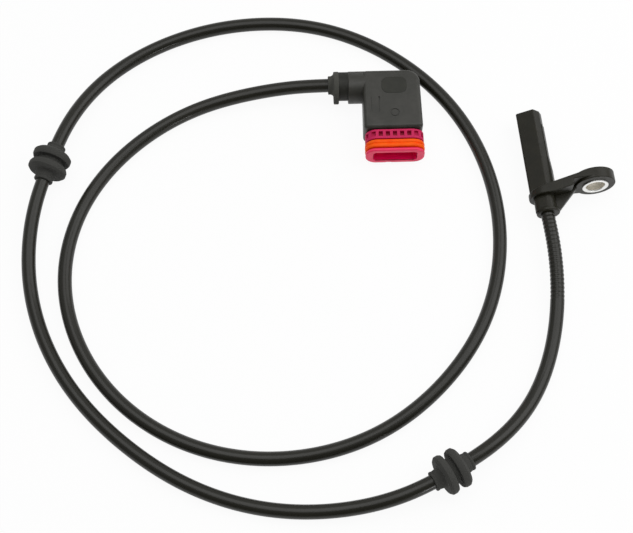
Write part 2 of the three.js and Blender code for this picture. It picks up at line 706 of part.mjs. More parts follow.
function buildPlug() {
  const plug = new THREE.Group();
  plug.add(mesh('connector_housing', plugHousingGeometry(), housingGrey));
  plug.add(mesh('rear_seal', rearSealGeometry(), rubberGrey));
  plug.add(mesh('contact_carrier', contactCarrierGeometry(), magenta));
  plug.add(mesh('secondary_lock', secondaryLockGeometry(), magenta));
  plug.add(mesh('lip_seal', lipSealGeometry(), orange));
  [-1, 1].forEach((side, index) => {
    const contact = boxAt(
      CONTACT_WIDTH, contactEnd - contactTip, CONTACT_THICKNESS,
      side * CONTACT_PITCH / 2, (contactEnd + contactTip) / 2, 0);
    plug.add(mesh(`plug_contact_${index + 1}`, contact, tinPlate));
    plug.add(mesh(`wire_seal_${index + 1}`, wireSealGeometry(side), sealBlue));
    plug.add(mesh(`plug_core_${index + 1}`, plugCoreGeometry(side), index ? coreBrown : coreWhite));
  });
  plug.rotation.z = PLUG_TURN;
  plug.position.set(PLUG_AT.x, PLUG_AT.y, PLUG_THICKNESS / 2);
  return plug;
}

const sensor = new THREE.Group();
sensor.add(buildHead());
sensor.add(buildLead());
sensor.add(buildPlug());

export default sensor;
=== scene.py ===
"""Looks of a wheel speed sensor: a moulded head, a lead, two rubber grommets and a sealed plug.

Every size below is in millimetres in the part's own frame: +Y runs along the sensing tip and z = 0 is the
surface the sensor lies on. Pieces are modelled in metres.
"""

from __future__ import annotations

import logging
import math
from collections.abc import Callable
from dataclasses import dataclass
from enum import Enum
from typing import ClassVar

import bmesh
import bpy
from mathutils import Matrix, Vector

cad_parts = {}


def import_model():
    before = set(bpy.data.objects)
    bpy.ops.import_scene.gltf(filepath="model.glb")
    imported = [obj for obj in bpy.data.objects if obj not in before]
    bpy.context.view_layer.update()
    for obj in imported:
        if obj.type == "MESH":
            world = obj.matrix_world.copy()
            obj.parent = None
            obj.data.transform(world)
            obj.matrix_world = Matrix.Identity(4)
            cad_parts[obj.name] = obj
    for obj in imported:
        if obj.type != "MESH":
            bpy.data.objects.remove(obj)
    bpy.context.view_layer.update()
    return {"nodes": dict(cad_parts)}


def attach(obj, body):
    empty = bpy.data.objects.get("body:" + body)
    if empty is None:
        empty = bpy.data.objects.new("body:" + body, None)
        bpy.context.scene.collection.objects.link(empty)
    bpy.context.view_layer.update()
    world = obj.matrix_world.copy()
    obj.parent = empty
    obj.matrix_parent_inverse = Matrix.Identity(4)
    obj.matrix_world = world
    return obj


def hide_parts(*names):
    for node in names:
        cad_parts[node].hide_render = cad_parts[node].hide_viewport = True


LOG = logging.getLogger("wheel_speed_sensor")
MM = 0.001
BODY = "root"
MERGE = 1e-6
HERE = Matrix.Identity(4)
ALONG_Y = Matrix.Rotation(math.radians(-90), 4, "X")
ALONG_X = Matrix.Rotation(math.radians(90), 4, "Y")
Colour = tuple[float, float, float]
Triple = tuple[float, float, float]
Ring = tuple[float, float]
Piece = bpy.types.Object
Face = bpy.types.MeshPolygon
Socket = bpy.types.NodeSocket


class Carve(Enum):
    """How a second solid changes the first."""

    ADD = "UNION"
    TAKE = "DIFFERENCE"
    KEEP = "INTERSECT"


def scaled(matrix: Matrix) -> Matrix:
    """Gives a placement written in millimetres in metres.

    Args:
        matrix: Rotation and translation, with the translation in millimetres.

    Returns:
        The same placement with its translation in metres.
    """
    placed = matrix.copy()
    placed.translation = matrix.translation * MM
    return placed


def rod(radius: float, start: float, end: float) -> list[Ring]:
    """Gives the two rings of a plain round bar."""
    return [(radius, start), (radius, end)]


class Bench:
    """Modelling steps that the pieces share, each done with an operator."""

    @staticmethod
    def clear() -> None:
        """Deselects everything."""
        bpy.ops.object.select_all(action="DESELECT")

    @staticmethod
    def focus(piece: Piece) -> None:
        """Leaves one piece selected and active."""
        Bench.clear()
        piece.select_set(True)
        bpy.context.view_layer.objects.active = piece

    @staticmethod
    def edit(piece: Piece) -> None:
        """Opens a piece in edit mode with all of it selected."""
        Bench.focus(piece)
        bpy.ops.object.mode_set(mode="EDIT")
        bpy.ops.mesh.select_mode(type="VERT")
        bpy.ops.mesh.select_all(action="SELECT")

    @staticmethod
    def close(piece: Piece) -> None:
        """Merges doubles, turns the faces outwards and leaves edit mode."""
        bpy.ops.mesh.select_all(action="SELECT")
        bpy.ops.mesh.remove_doubles(threshold=MERGE)
        bpy.ops.mesh.normals_make_consistent(inside=False)
        bpy.ops.object.mode_set(mode="OBJECT")

    @staticmethod
    def settle(piece: Piece, place: Matrix) -> Piece:
        """Moves a piece and keeps its place in its mesh.

        Args:
            piece: The piece, as modelled round the origin.
            place: Rotation and translation, in millimetres.

        Returns:
            The same piece, with its object at the origin.
        """
        Bench.focus(piece)
        piece.matrix_world = scaled(place)
        bpy.ops.object.transform_apply(location=True, rotation=True, scale=True)
        return piece

    @staticmethod
    def block(size: Triple, place: Matrix, turn: Triple = (0, 0, 0)) -> Piece:
        """Adds a box round the origin and sets it down.

        Args:
            size: Its width, depth and height.
            place: Where it goes.
            turn: Its Euler angles in radians, before it goes there.

        Returns:
            The box, with its place in its mesh.
        """
        Bench.clear()
        bpy.ops.mesh.primitive_cube_add(size=1, rotation=turn)
        piece = bpy.context.object
        piece.scale = Vector(size) * MM
        bpy.ops.object.transform_apply(location=True, rotation=True, scale=True)
        return Bench.settle(piece, place)

    @staticmethod
    def turned(
            rings: list[Ring], sides: int = 64, hollow: bool = False,
            place: Matrix = HERE) -> Piece:
        """Draws a round piece up from a circle, ring by ring.

        Args:
            rings: Radius and height of each ring. A hollow piece comes back to its first ring.
            sides: Faces round the piece.
            hollow: Whether the middle stays open.
            place: Where it goes.

        Returns:
            The closed piece.
        """
        Bench.clear()
        radius, height = rings[0]
        bpy.ops.mesh.primitive_circle_add(
            vertices=sides, radius=radius * MM, fill_type="NOTHING" if hollow else "NGON",
            location=(0, 0, height * MM))
        piece = bpy.context.object
        bpy.ops.object.transform_apply(location=True, rotation=False, scale=False)
        Bench.edit(piece)
        for wider, higher in rings[1:]:
            bpy.ops.mesh.extrude_region_move(TRANSFORM_OT_translate={"value": (0, 0, (higher - height) * MM)})
            grow = wider / radius
            bpy.ops.transform.resize(value=(grow, grow, 1), center_override=(0, 0, higher * MM))
            radius, height = wider, higher
        Bench.close(piece)
        return Bench.settle(piece, place)

    @staticmethod
    def lofted(
            width: float, height: float, corner: float, stations: list[Triple], steps: int = 8,
            place: Matrix = HERE) -> Piece:
        """Draws a rounded rectangle along the upright axis.

        Args:
            width: Full width of the section.
            height: Full height of the section.
            corner: Radius of its corners.
            stations: Place along the axis, then the share of the width and of the height there.
            steps: Faces round each corner.
            place: Where it goes.

        Returns:
            The closed piece.
        """
        Bench.clear()
        bpy.ops.mesh.primitive_plane_add(size=1)
        piece = bpy.context.object
        piece.scale = (width * MM, height * MM, 1)
        bpy.ops.object.transform_apply(location=True, rotation=True, scale=True)
        Bench.edit(piece)
        bpy.ops.mesh.bevel(
            offset=corner * MM, offset_type="OFFSET", segments=steps, profile=0.5, affect="VERTICES")
        bpy.ops.mesh.select_all(action="SELECT")
        along, wide, tall = stations[0]
        bpy.ops.transform.translate(value=(0, 0, along * MM))
        bpy.ops.transform.resize(value=(wide, tall, 1), center_override=(0, 0, along * MM))
        for following in stations[1:]:
            rise = (following[0] - along) * MM
            bpy.ops.mesh.extrude_region_move(TRANSFORM_OT_translate={"value": (0, 0, rise)})
            grow = (following[1] / wide, following[2] / tall, 1)
            bpy.ops.transform.resize(value=grow, center_override=(0, 0, following[0] * MM))
            along, wide, tall = following
        Bench.close(piece)
        return Bench.settle(piece, place)

    @staticmethod
    def slab(
            outline: list[Ring], bottom: float, thickness: float, place: Matrix = HERE) -> Piece:
        """Raises a flat outline into a plate.

        Args:
            outline: Corners of the outline, in order, seen from above.
            bottom: Height of its lower face.
            thickness: How far it is raised.
            place: Where it goes.

        Returns:
            The closed plate.
        """
        Bench.clear()
        bpy.ops.mesh.primitive_circle_add(vertices=len(outline), radius=1, fill_type="NGON")
        piece = bpy.context.object
        for vertex, (x, y) in zip(piece.data.vertices, outline):
            vertex.co = Vector((x, y, bottom)) * MM
        Bench.edit(piece)
        bpy.ops.mesh.extrude_region_move(TRANSFORM_OT_translate={"value": (0, 0, thickness * MM)})
        Bench.close(piece)
        return Bench.settle(piece, place)

    @staticmethod
    def soften(piece: Piece, width: float, steps: int = 3, angle: float = 30) -> Piece:
        """Rounds the edges of a piece that are sharper than an angle.

        Args:
            piece: The piece.
            width: Width of the rounding.
            steps: Faces across it.
            angle: Least angle of an edge that is rounded, in degrees.

        Returns:
            The same piece.
        """
        Bench.focus(piece)
        edge = piece.modifiers.new("edge", "BEVEL")
        edge.width = width * MM
        edge.segments = steps
        edge.limit_method = "ANGLE"
        edge.angle_limit = math.radians(angle)
        bpy.ops.object.modifier_apply(modifier=edge.name)
        return piece

    @staticmethod
    def carve(piece: Piece, how: Carve, *tools: Piece) -> Piece:
        """Joins other solids to a piece or takes them out of it.

        Args:
            piece: The piece that stays.
            how: Whether the others are added, taken or only what both hold is kept.
            tools: The other solids, which are used up.

        Returns:
            The same piece.
        """
        for tool in tools:
            Bench.focus(piece)
            step = piece.modifiers.new("carve", "BOOLEAN")
            step.operation = how.value
            step.solver = "EXACT"
            step.object = tool
            bpy.ops.object.modifier_apply(modifier=step.name)
            bpy.data.objects.remove(tool)
        return piece

    @staticmethod
    def dress(
            piece: Piece, name: str, finish: "Finish", nodes: tuple[str, ...],
            angle: float = 35) -> None:
        """Names and shades a finished piece and seats it in the frame.

        Args:
            piece: The finished piece.
            name: Its name.
            finish: Its material.
            nodes: The solids of the frame that it stands for.
            angle: Greatest angle between faces that shade as one, in degrees.
        """
        Bench.edit(piece)
        Bench.close(piece)
        piece.name = name
        piece.data.name = name
        bpy.ops.object.shade_smooth_by_angle(angle=math.radians(angle))
        even = piece.modifiers.new("even", "WEIGHTED_NORMAL")
        even.keep_sharp = True
        bpy.ops.object.modifier_apply(modifier=even.name)
        piece.data.materials.clear()
        piece.data.materials.append(finish.material())
        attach(piece, BODY)
        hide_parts(*nodes)
        LOG.info("%s: %d faces", name, len(piece.data.polygons))

    @staticmethod
    def accent(
            piece: Piece, finish: "Finish",
            chosen: Callable[[Face], bool]) -> None:
        """Gives some faces of a finished piece a second finish.

        Args:
            piece: The finished piece.
            finish: The second finish.
            chosen: Says of a face whether it takes it.
        """
        piece.data.materials.append(finish.material())
        for face in piece.data.polygons:
            if chosen(face):
                face.material_index = len(piece.data.materials) - 1


class Surface:
    """A Principled material under construction."""

    def __init__(self, name: str) -> None:
        """Starts an empty material of that name.

        Args:
            name: Name of the material.
        """
        self.material = bpy.data.materials.new(name)
        self.material.use_nodes = True
        self.tree = self.material.node_tree
        self.tree.nodes.clear()
        self.shader = self.tree.nodes.new("ShaderNodeBsdfPrincipled")
        out = self.tree.nodes.new("ShaderNodeOutputMaterial")
        self.link(self.shader.outputs["BSDF"], out.inputs["Surface"])
        self.place = self.tree.nodes.new("ShaderNodeTexCoord").outputs["Object"]

    def link(self, source: Socket, target: Socket) -> None:
        """Joins two sockets."""
        self.tree.links.new(source, target)

    def hold(self, name: str, value: float | tuple[float, ...]) -> None:
        """Sets a constant on the shader's own socket."""
        self.shader.inputs[name].default_value = value

    def wear(self, patches: Socket, smudges: Socket, finish: "Finish", coat: float) -> None:
        """Sets the colour and gloss of a finish.

        Args:
            patches: Factor between its darker and its lighter colour.
            smudges: Factor between its two roughnesses.
            finish: The finish.
            coat: Roughness of its clear coat.
        """
        self.link(self.ramp(patches, finish.dark, finish.light), self.shader.inputs["Base Color"])
        self.link(self.spread(smudges, *finish.gloss), self.shader.inputs["Roughness"])
        self.hold("Metallic", finish.metal)
        self.hold("Specular IOR Level", finish.specular)
        self.hold("Coat Weight", finish.coat)
        self.hold("Coat Roughness", coat)

    def noise(self, size: float, detail: float = 3, stretch: Triple = (1, 1, 1)) -> Socket:
        """Adds a noise.

        Args:
            size: Size of one patch in millimetres.
            detail: Octaves of finer noise.
            stretch: Scale of the pattern on each axis.

        Returns:
            The noise's factor.
        """
        turn = self.tree.nodes.new("ShaderNodeMapping")
        turn.inputs["Scale"].default_value = stretch
        self.link(self.place, turn.inputs["Vector"])
        node = self.tree.nodes.new("ShaderNodeTexNoise")
        node.inputs["Scale"].default_value = 1 / (size * MM)
        node.inputs["Detail"].default_value = detail
        self.link(turn.outputs["Vector"], node.inputs["Vector"])
        return node.outputs["Fac"]

    def speckle(self, size: float) -> Socket:
        """Adds fine cells of one size in millimetres and gives their distance."""
        node = self.tree.nodes.new("ShaderNodeTexVoronoi")
        node.inputs["Scale"].default_value = 1 / (size * MM)
        self.link(self.place, node.inputs["Vector"])
        return node.outputs["Distance"]

    def ramp(self, source: Socket, low: Colour, high: Colour, start: float = 0.35,
             end: float = 0.65) -> Socket:
        """Blends two colours by a factor.

        Args:
            source: The factor.
            low: Colour at its low end.
            high: Colour at its high end.
            start: Factor where the blend starts.
            end: Factor where it ends.

        Returns:
            The blended colour.
        """
        node = self.tree.nodes.new("ShaderNodeValToRGB")
        stops = node.color_ramp.elements
        stops[0].position = start
        stops[0].color = (*low, 1)
        stops[1].position = end
        stops[1].color = (*high, 1)
        self.link(source, node.inputs["Fac"])
        return node.outputs["Color"]

    def spread(self, source: Socket, low: float, high: float) -> Socket:
        """Maps a factor to a range of values.

        Args:
            source: The factor.
            low: Value at its low end.
            high: Value at its high end.

        Returns:
            The mapped value.
        """
        node = self.tree.nodes.new("ShaderNodeMapRange")
        node.inputs["From Min"].default_value = 0.3
        node.inputs["From Max"].default_value = 0.7
        node.inputs["To Min"].default_value = low
        node.inputs["To Max"].default_value = high
        self.link(source, node.inputs["Value"])
        return node.outputs["Result"]

    def bump(self, source: Socket, depth: float, strength: float = 1.0) -> None:
        """Adds a relief of that depth in millimetres over what is there.

        Args:
            source: Height of the relief.
            depth: Its depth in millimetres.
            strength: Its strength, from 0 to 1.
        """
        node = self.tree.nodes.new("ShaderNodeBump")
        node.inputs["Strength"].default_value = strength
        node.inputs["Distance"].default_value = depth * MM
        self.link(source, node.inputs["Height"])
        normal = self.shader.inputs["Normal"]
        if normal.links:
            self.link(normal.links[0].from_socket, node.inputs["Normal"])
        self.link(node.outputs["Normal"], normal)


@dataclass(frozen=True)
class Finish:
    """A moulded or plated finish with mottled colour, uneven gloss and a fine grain."""

    name: str
    slot: str
    dark: Colour
    light: Colour
    gloss: tuple[float, float] = (0.4, 0.5)
    mottle: float = 5
    grain: float = 0.2
    relief: float = 0.01
    metal: float = 0.0
    coat: float = 0.0
    specular: float = 0.5

    def material(self) -> bpy.types.Material:
        """Gives the material, made on its first use."""
        known = bpy.data.materials.get(self.name)
        return known if known else self.made()

    def made(self) -> bpy.types.Material:
        """Builds the material's nodes.

        Returns:
            The material.
        """
        surface = Surface(self.name)
        patches = surface.noise(self.mottle)
        surface.wear(patches, surface.noise(self.mottle * 0.6, detail=5), self, coat=0.15)
        surface.bump(surface.noise(self.grain, detail=2), self.relief, 0.5)
        surface.bump(surface.speckle(self.grain * 3), self.relief, 0.25)
        return surface.material


@dataclass(frozen=True)
class SheathFinish(Finish):
    """The lead's glossy sheath, with faint draw lines along it."""

    def made(self) -> bpy.types.Material:
        """Builds the material's nodes on the sheath's own UV map.

        Returns:
            The material.
        """
        surface = Surface(self.name)
        uv = surface.tree.nodes.new("ShaderNodeUVMap")
        uv.uv_map = Sheath.UV_NAME
        surface.place = uv.outputs["UV"]
        bands = surface.noise(120, detail=3, stretch=(4, 1, 1))
        surface.wear(bands, surface.noise(40, detail=4, stretch=(3, 1, 1)), self, coat=0.08)
        surface.bump(surface.noise(30, detail=2, stretch=(30, 1, 1)), self.relief, 0.4)
        surface.bump(surface.noise(4, detail=2, stretch=(4, 1, 1)), self.relief * 0.6, 0.3)
        return surface.material


MOULDED = Finish(
    "moulded_head", "moulded_black", (0.0080, 0.0074, 0.0026), (0.0120, 0.0108, 0.0045),
    gloss=(0.34, 0.46), grain=0.3, relief=0.015, specular=0.32)
SHEATH = SheathFinish(
    "lead_sheath", "lead_black", (0.0075, 0.0072, 0.0035), (0.0115, 0.011, 0.0065),
    gloss=(0.28, 0.4), relief=0.012, coat=0.15, specular=0.32)
GROMMET = Finish(
    "grommet_rubber", "grommet_rubber", (0.018, 0.018, 0.016), (0.028, 0.028, 0.026),
    gloss=(0.45, 0.6), mottle=3, relief=0.03, specular=0.4)
HOUSING = Finish(
    "plug_housing", "housing_grey", (0.020, 0.020, 0.0150), (0.030, 0.029, 0.0235),
    gloss=(0.4, 0.52), relief=0.02)
# Painted shade: a darker, less glossy copy of the housing grey for the raised pad, standing in for the darker
# top of the plug.
PAD_SHADE = Finish(
    "plug_pad_painted_shade", "housing_grey", (0.018, 0.0185, 0.0135), (0.024, 0.0245, 0.018),
    mottle=4, specular=0.32)
REAR_RUBBER = Finish(
    "rear_seal_rubber", "rear_seal_rubber", (0.028, 0.028, 0.023), (0.04, 0.04, 0.034),
    gloss=(0.5, 0.65), mottle=3, relief=0.02)
# Painted shade: a darker copy of the seal rubber for the recessed groove between the disc and the housing's
# neck.
GROOVE_SHADE_RUBBER = Finish(
    "seal_groove_shade_rubber", "rear_seal_rubber", (0.010, 0.010, 0.007), (0.016, 0.016, 0.012),
    gloss=(0.5, 0.65), mottle=3, relief=0.02, specular=0.35)
MAGENTA = Finish(
    "magenta_plastic", "magenta_plastic", (0.56, 0.006, 0.085), (0.64, 0.012, 0.115),
    gloss=(0.38, 0.5))
# Painted shade: a darker copy of the magenta for the carrier, so that its core shows dark through the lock's
# windows and behind the lip.
SHADED_MAGENTA = Finish(
    "shaded_magenta_plastic", "magenta_plastic", (0.30, 0.0005, 0.022), (0.38, 0.001, 0.034),
    gloss=(0.42, 0.55), specular=0.3)
# Painted highlight: a lighter copy of the magenta for the front rim, standing in for its lit edge and its
# reflection of the table.
RIM_HIGHLIGHT_MAGENTA = Finish(
    "rim_highlight_magenta_plastic", "magenta_plastic", (0.90, 0.020, 0.110), (0.96, 0.028, 0.130),
    gloss=(0.38, 0.5))
# Painted light: a brighter copy of the magenta that lines the mouth, lighter than the carrier's own colour.
MOUTH_LIT_MAGENTA = Finish(
    "mouth_lit_magenta_plastic", "magenta_plastic", (0.93, 0.001, 0.120), (0.99, 0.002, 0.145),
    specular=0.3)
ORANGE = Finish(
    "orange_silicone", "orange_seal", (0.97, 0.085, 0.0), (1.0, 0.125, 0.002),
    gloss=(0.42, 0.55), mottle=4, specular=0.15)
PLATED = Finish(
    "bush_plating", "bush_metal", (0.82, 0.82, 0.80), (0.9, 0.9, 0.88),
    gloss=(0.3, 0.4), mottle=3, grain=0.3, relief=0.003, metal=1.0)
# Painted shade: a darker, duller copy of the plating for the faces that line the bush's bore.
BORE_SHADE = Finish(
    "bush_bore", "bush_metal", (0.62, 0.585, 0.50), (0.70, 0.66, 0.57),
    gloss=(0.45, 0.55), mottle=3, grain=0.4, relief=0.003, metal=0.35)
TIN = Finish(
    "contact_tin", "contact_tin", (0.7, 0.7, 0.68), (0.82, 0.82, 0.8),
    gloss=(0.25, 0.35), mottle=2, grain=0.15, relief=0.005, metal=1.0)
COPPER = Finish(
    "lead_frame_copper", "copper", (0.7, 0.32, 0.16), (0.8, 0.4, 0.22),
    gloss=(0.25, 0.4), mottle=2, grain=0.15, relief=0.005, metal=1.0)
RESIN = Finish(
    "chip_resin", "chip_resin", (0.01, 0.01, 0.011), (0.014, 0.014, 0.015),
    gloss=(0.5, 0.6), mottle=1, grain=0.1)
FERRITE = Finish(
    "magnet_ferrite", "magnet", (0.10, 0.10, 0.11), (0.15, 0.15, 0.16),
    gloss=(0.4, 0.55), mottle=1, grain=0.1, metal=0.6)
CARRIER = Finish(
    "chip_carrier_plastic", "carrier_plastic", (0.62, 0.58, 0.46), (0.7, 0.66, 0.54),
    gloss=(0.5, 0.6), mottle=2, grain=0.15)
WHITE_CORE = Finish(
    "white_insulation", "core_white", (0.66, 0.66, 0.63), (0.75, 0.75, 0.72),
    gloss=(0.35, 0.45), mottle=2, grain=0.15, relief=0.005)
BROWN_CORE = Finish(
    "brown_insulation", "core_brown", (0.12, 0.05, 0.018), (0.16, 0.07, 0.025),
    gloss=(0.35, 0.45), mottle=2, grain=0.15, relief=0.005)
BLUE_SEAL = Finish(
    "wire_seal_silicone", "wire_seal_rubber", (0.04, 0.14, 0.3), (0.06, 0.18, 0.36),
    gloss=(0.45, 0.6), mottle=2, grain=0.15)


@dataclass
class Studio:
    """The pale table, the soft lights and the camera."""

    camera_over: Ring = (-118.305, -231.34)
    camera_height: float = 473.8
    elevation: float = 67.0
    heading: float = -5.7
    lens: float = 78.63
    softbox: float = 620
    overhead: Triple = (-200, 60, 760)
    overhead_power: float = 1.9
    right: Triple = (400, 60, 520)
    right_power: float = 2.1
    low: Triple = (290, -700, 70)
    low_size: float = 150
    low_power: float = 0.7
    dome_front: float = 0.16
    dome_back: float = 0.66

    def build(self) -> None:
        """Makes the camera, the lights, the world and the table."""
        self.place_camera()
        self.light("overhead", self.overhead, self.softbox, self.overhead_power)
        self.light("right", self.right, self.softbox, self.right_power)
        self.light("low", self.low, self.low_size, self.low_power)
        self.lay_table()
        self.paint_world()
        bpy.context.scene.view_settings.view_transform = "Standard"

    def place_camera(self) -> None:
        """Stands the camera where the photograph was taken from."""
        data = bpy.data.cameras.new("camera")
        data.lens = self.lens
        data.sensor_width = 36
        data.clip_start = 0.01
        camera = bpy.data.objects.new("camera", data)
        camera.location = Vector((*self.camera_over, self.camera_height)) * MM
        camera.rotation_euler = (math.radians(90 - self.elevation), 0, math.radians(self.heading))
        bpy.context.scene.collection.objects.link(camera)
        bpy.context.scene.camera = camera

    @staticmethod
    def light(name: str, place: Triple, size: float, power: float) -> None:
        """Hangs a square softbox that faces the middle of the lead.

        Args:
            name: Its name.
            place: Its centre.
            size: The length of its side.
            power: Its power in watts.
        """
        data = bpy.data.lights.new(name, "AREA")
        data.size = size * MM
        data.energy = power
        lamp = bpy.data.objects.new(name, data)
        lamp.location = Vector(place) * MM
        aim = Vector((-100, -30, 0)) * MM - lamp.location
        lamp.rotation_euler = aim.to_track_quat("-Z", "Y").to_euler()
        bpy.context.scene.collection.objects.link(lamp)

    @staticmethod
    def lay_table() -> None:
        """Lays a white table that keeps a faint shadow."""
        Bench.clear()
        bpy.ops.mesh.primitive_plane_add(size=6)
        table = bpy.context.object
        table.name = "table"
        table.location.z = -0.02 * MM
        surface = Surface("white_table")
        nodes = surface.tree.nodes
        surface.hold("Base Color", (0.95, 0.95, 0.95, 1))
        surface.hold("Roughness", 1.0)
        surface.hold("Specular IOR Level", 0.0)
        glow = nodes.new("ShaderNodeEmission")
        glow.inputs["Strength"].default_value = 1.0
        rays = nodes.new("ShaderNodeLightPath")
        seen = nodes.new("ShaderNodeMath")
        seen.operation = "MAXIMUM"
        surface.link(rays.outputs["Is Camera Ray"], seen.inputs[0])
        surface.link(rays.outputs["Is Glossy Ray"], seen.inputs[1])
        share = nodes.new("ShaderNodeMath")
        share.operation = "MULTIPLY"
        share.inputs[1].default_value = 0.93
        surface.link(seen.outputs[0], share.inputs[0])
        mix = nodes.new("ShaderNodeMixShader")
        surface.link(share.outputs[0], mix.inputs["Fac"])
        surface.link(surface.shader.outputs["BSDF"], mix.inputs[1])
        surface.link(glow.outputs["Emission"], mix.inputs[2])
        out = next(node for node in nodes if node.type == "OUTPUT_MATERIAL")
        surface.link(mix.outputs["Shader"], out.inputs["Surface"])
        table.data.materials.append(surface.material)

    def paint_world(self) -> None:
        """Lights all round softly, darker from the camera's side, and shows white behind the table."""
        world = bpy.data.worlds.new("studio")
        bpy.context.scene.world = world
        world.use_nodes = True
        nodes = world.node_tree.nodes
        links = world.node_tree.links
        background = nodes["Background"]
        split = nodes.new("ShaderNodeSeparateXYZ")
        links.new(nodes.new("ShaderNodeTexCoord").outputs["Generated"], split.inputs[0])
        dome = nodes.new("ShaderNodeMapRange")
        dome.inputs["From Min"].default_value = -0.8
        dome.inputs["From Max"].default_value = 0.8
        dome.inputs["To Min"].default_value = self.dome_front
        dome.inputs["To Max"].default_value = self.dome_back
        links.new(split.outputs["Y"], dome.inputs["Value"])
        rays = nodes.new("ShaderNodeLightPath")
        level = nodes.new("ShaderNodeMapRange")
        level.inputs["To Max"].default_value = 1.0
        links.new(rays.outputs["Is Camera Ray"], level.inputs["Value"])
        links.new(dome.outputs["Result"], level.inputs["To Min"])
        links.new(level.outputs["Result"], background.inputs["Strength"])
        background.inputs["Color"].default_value = (1, 1, 1, 1)


class Sheath:
    """The lead's sheath along its whole route, ribbed where it leaves the head."""

    UV_NAME = "sheath"
    POINTS: tuple[Triple, ...] = (
        (-10.6, -21.7, 6.2), (-10.4, -31.9, 6.2), (-11.7, -51.4, 4.5), (-17.2, -72.9, 2.8),
        (-27.7, -92.0, 3.5), (-46.6, -108.6, 7.0), (-59.8, -115.3, 7.3), (-73.7, -120.8, 7.0),
        (-100.3, -124.1, 3.7), (-126.3, -120.6, 2.7), (-150.8, -110.1, 2.6), (-172.2, -93.3, 2.6),
        (-189.1, -72.8, 2.6), (-200.3, -48.8, 2.7), (-204.3, -22.4, 3.6), (-200.1, 3.6, 6.8),
        (-194.9, 17.9, 7.3), (-189.0, 31.8, 6.8), (-171.5, 55.7, 3.4), (-145.1, 70.1, 2.7),
        (-114.8, 74.8, 2.6), (-85.3, 69.5, 2.6), (-59.2, 53.6, 2.6), (-40.0, 30.3, 2.6),
        (-29.8, 1.6, 2.6), (-29.3, -28.9, 2.6), (-38.8, -58.1, 2.6), (-57.8, -81.9, 2.6),
        (-83.2, -98.0, 2.6), (-113.3, -103.8, 2.6), (-143.3, -98.4, 2.6), (-168.9, -82.1, 2.6),
        (-185.9, -57.3, 2.6), (-191.3, -27.4, 2.6), (-183.0, 1.5, 2.6), (-163.3, 24.3, 2.7),
        (-136.7, 38.3, 3.3), (-114.7, 41.7, 5.4), (-97.8, 41.8, 7.0), (-87.0, 41.3, 7.1),
    )
    DIAMETER = 5.2
    SUNK = 1.3
    SIDES = 28
    STEP = 1.4
    RIBBED = 34.0
    RIB_PITCH = 1.6
    RIB_STEPS = 6
    RIB_DEPTH = 0.14
    CUTS = 24

    def __init__(self) -> None:
        """Draws the smooth route through the points."""
        self.knots = [Vector(point) for point in self.POINTS]
        self.spans = [(b - a).length for a, b in zip(self.knots, self.knots[1:])]
        self.slopes = self.solve_slopes()
        self.fine = self.sample(self.CUTS)
        self.reach = [0.0]
        for before, after in zip(self.fine, self.fine[1:]):
            self.reach.append(self.reach[-1] + (after - before).length)
        self.length = self.reach[-1]

    def solve_slopes(self) -> list[Vector]:
        """Solves the even cubic spline's slope at each knot.

        Returns:
            One slope for each knot.
        """
        count = len(self.knots)
        chords = [(b - a) / span for a, b, span in zip(self.knots, self.knots[1:], self.spans)]
        upper = [0.5]
        right = [chords[0] * 1.5]
        for i in range(1, count - 1):
            before, after = self.spans[i - 1], self.spans[i]
            pivot = 2 * (before + after) - after * upper[-1]
            upper.append(before / pivot)
            known = (chords[i - 1] * after + chords[i] * before) * 3
            right.append((known - right[-1] * after) / pivot)
        slopes = [(chords[-1] * 3 - right[-1]) / (2 - upper[-1])]
        for i in range(count - 2, -1, -1):
            slopes.append(right[i] - slopes[-1] * upper[i])
        return slopes[::-1]

    def sample(self, cuts: int) -> list[Vector]:
        """Gives points along the spline, so many to each span.

        Args:
            cuts: Points to each span.

        Returns:
            The points, from the head to the plug.
        """
        points = []
        for i, span in enumerate(self.spans):
            start, end = self.knots[i], self.knots[i + 1]
            lift, drop = self.slopes[i] * span, self.slopes[i + 1] * span
            for cut in range(cuts):
                t = cut / cuts
                points.append(
                    start * (2 * t ** 3 - 3 * t ** 2 + 1) + lift * (t ** 3 - 2 * t ** 2 + t)
                    + end * (3 * t ** 2 - 2 * t ** 3) + drop * (t ** 3 - t ** 2))
        points.append(self.knots[-1])
        return points

    def at(self, distance: float) -> Vector:
        """Gives the point at that distance along the route, or on the straight line beyond its ends.

        Args:
            distance: Distance along the route.

        Returns:
            The point.
        """
        low, high = 0, len(self.reach) - 1
        while high - low > 1:
            middle = (low + high) // 2
            low, high = (middle, high) if self.reach[middle] <= distance else (low, middle)
        share = (distance - self.reach[low]) / (self.reach[high] - self.reach[low])
        return self.fine[low].lerp(self.fine[high], share)

    def along(self, distance: float) -> Vector:
        """Gives the direction of the route at that distance."""
        return (self.at(distance + 0.4) - self.at(distance - 0.4)).normalized()

    def stations(self) -> list[float]:
        """Gives the distance of each ring, from one collar to the other, closer over the ribs.

        Returns:
            Distances along the route.
        """
        fine_step = self.RIB_PITCH / self.RIB_STEPS
        ribbed = [i * fine_step for i in range(int(self.RIBBED / fine_step) + 1)]
        plain = self.length + self.SUNK - ribbed[-1]
        count = round(plain / self.STEP)
        return [-self.SUNK, *ribbed, *(ribbed[-1] + plain * (i + 1) / count for i in range(count))]

    def radius(self, distance: float) -> float:
        """Gives the sheath's radius, which swells and narrows over the ribs.

        Args:
            distance: Distance along the route.

        Returns:
            The radius there.
        """
        base = self.DIAMETER / 2
        if distance >= self.RIBBED:
            return base
        fade = min(1.0, (self.RIBBED - distance) / self.RIB_PITCH)
        wave = math.cos(2 * math.pi * distance / self.RIB_PITCH)
        return base - self.RIB_DEPTH * fade * (0.5 - 0.5 * wave)

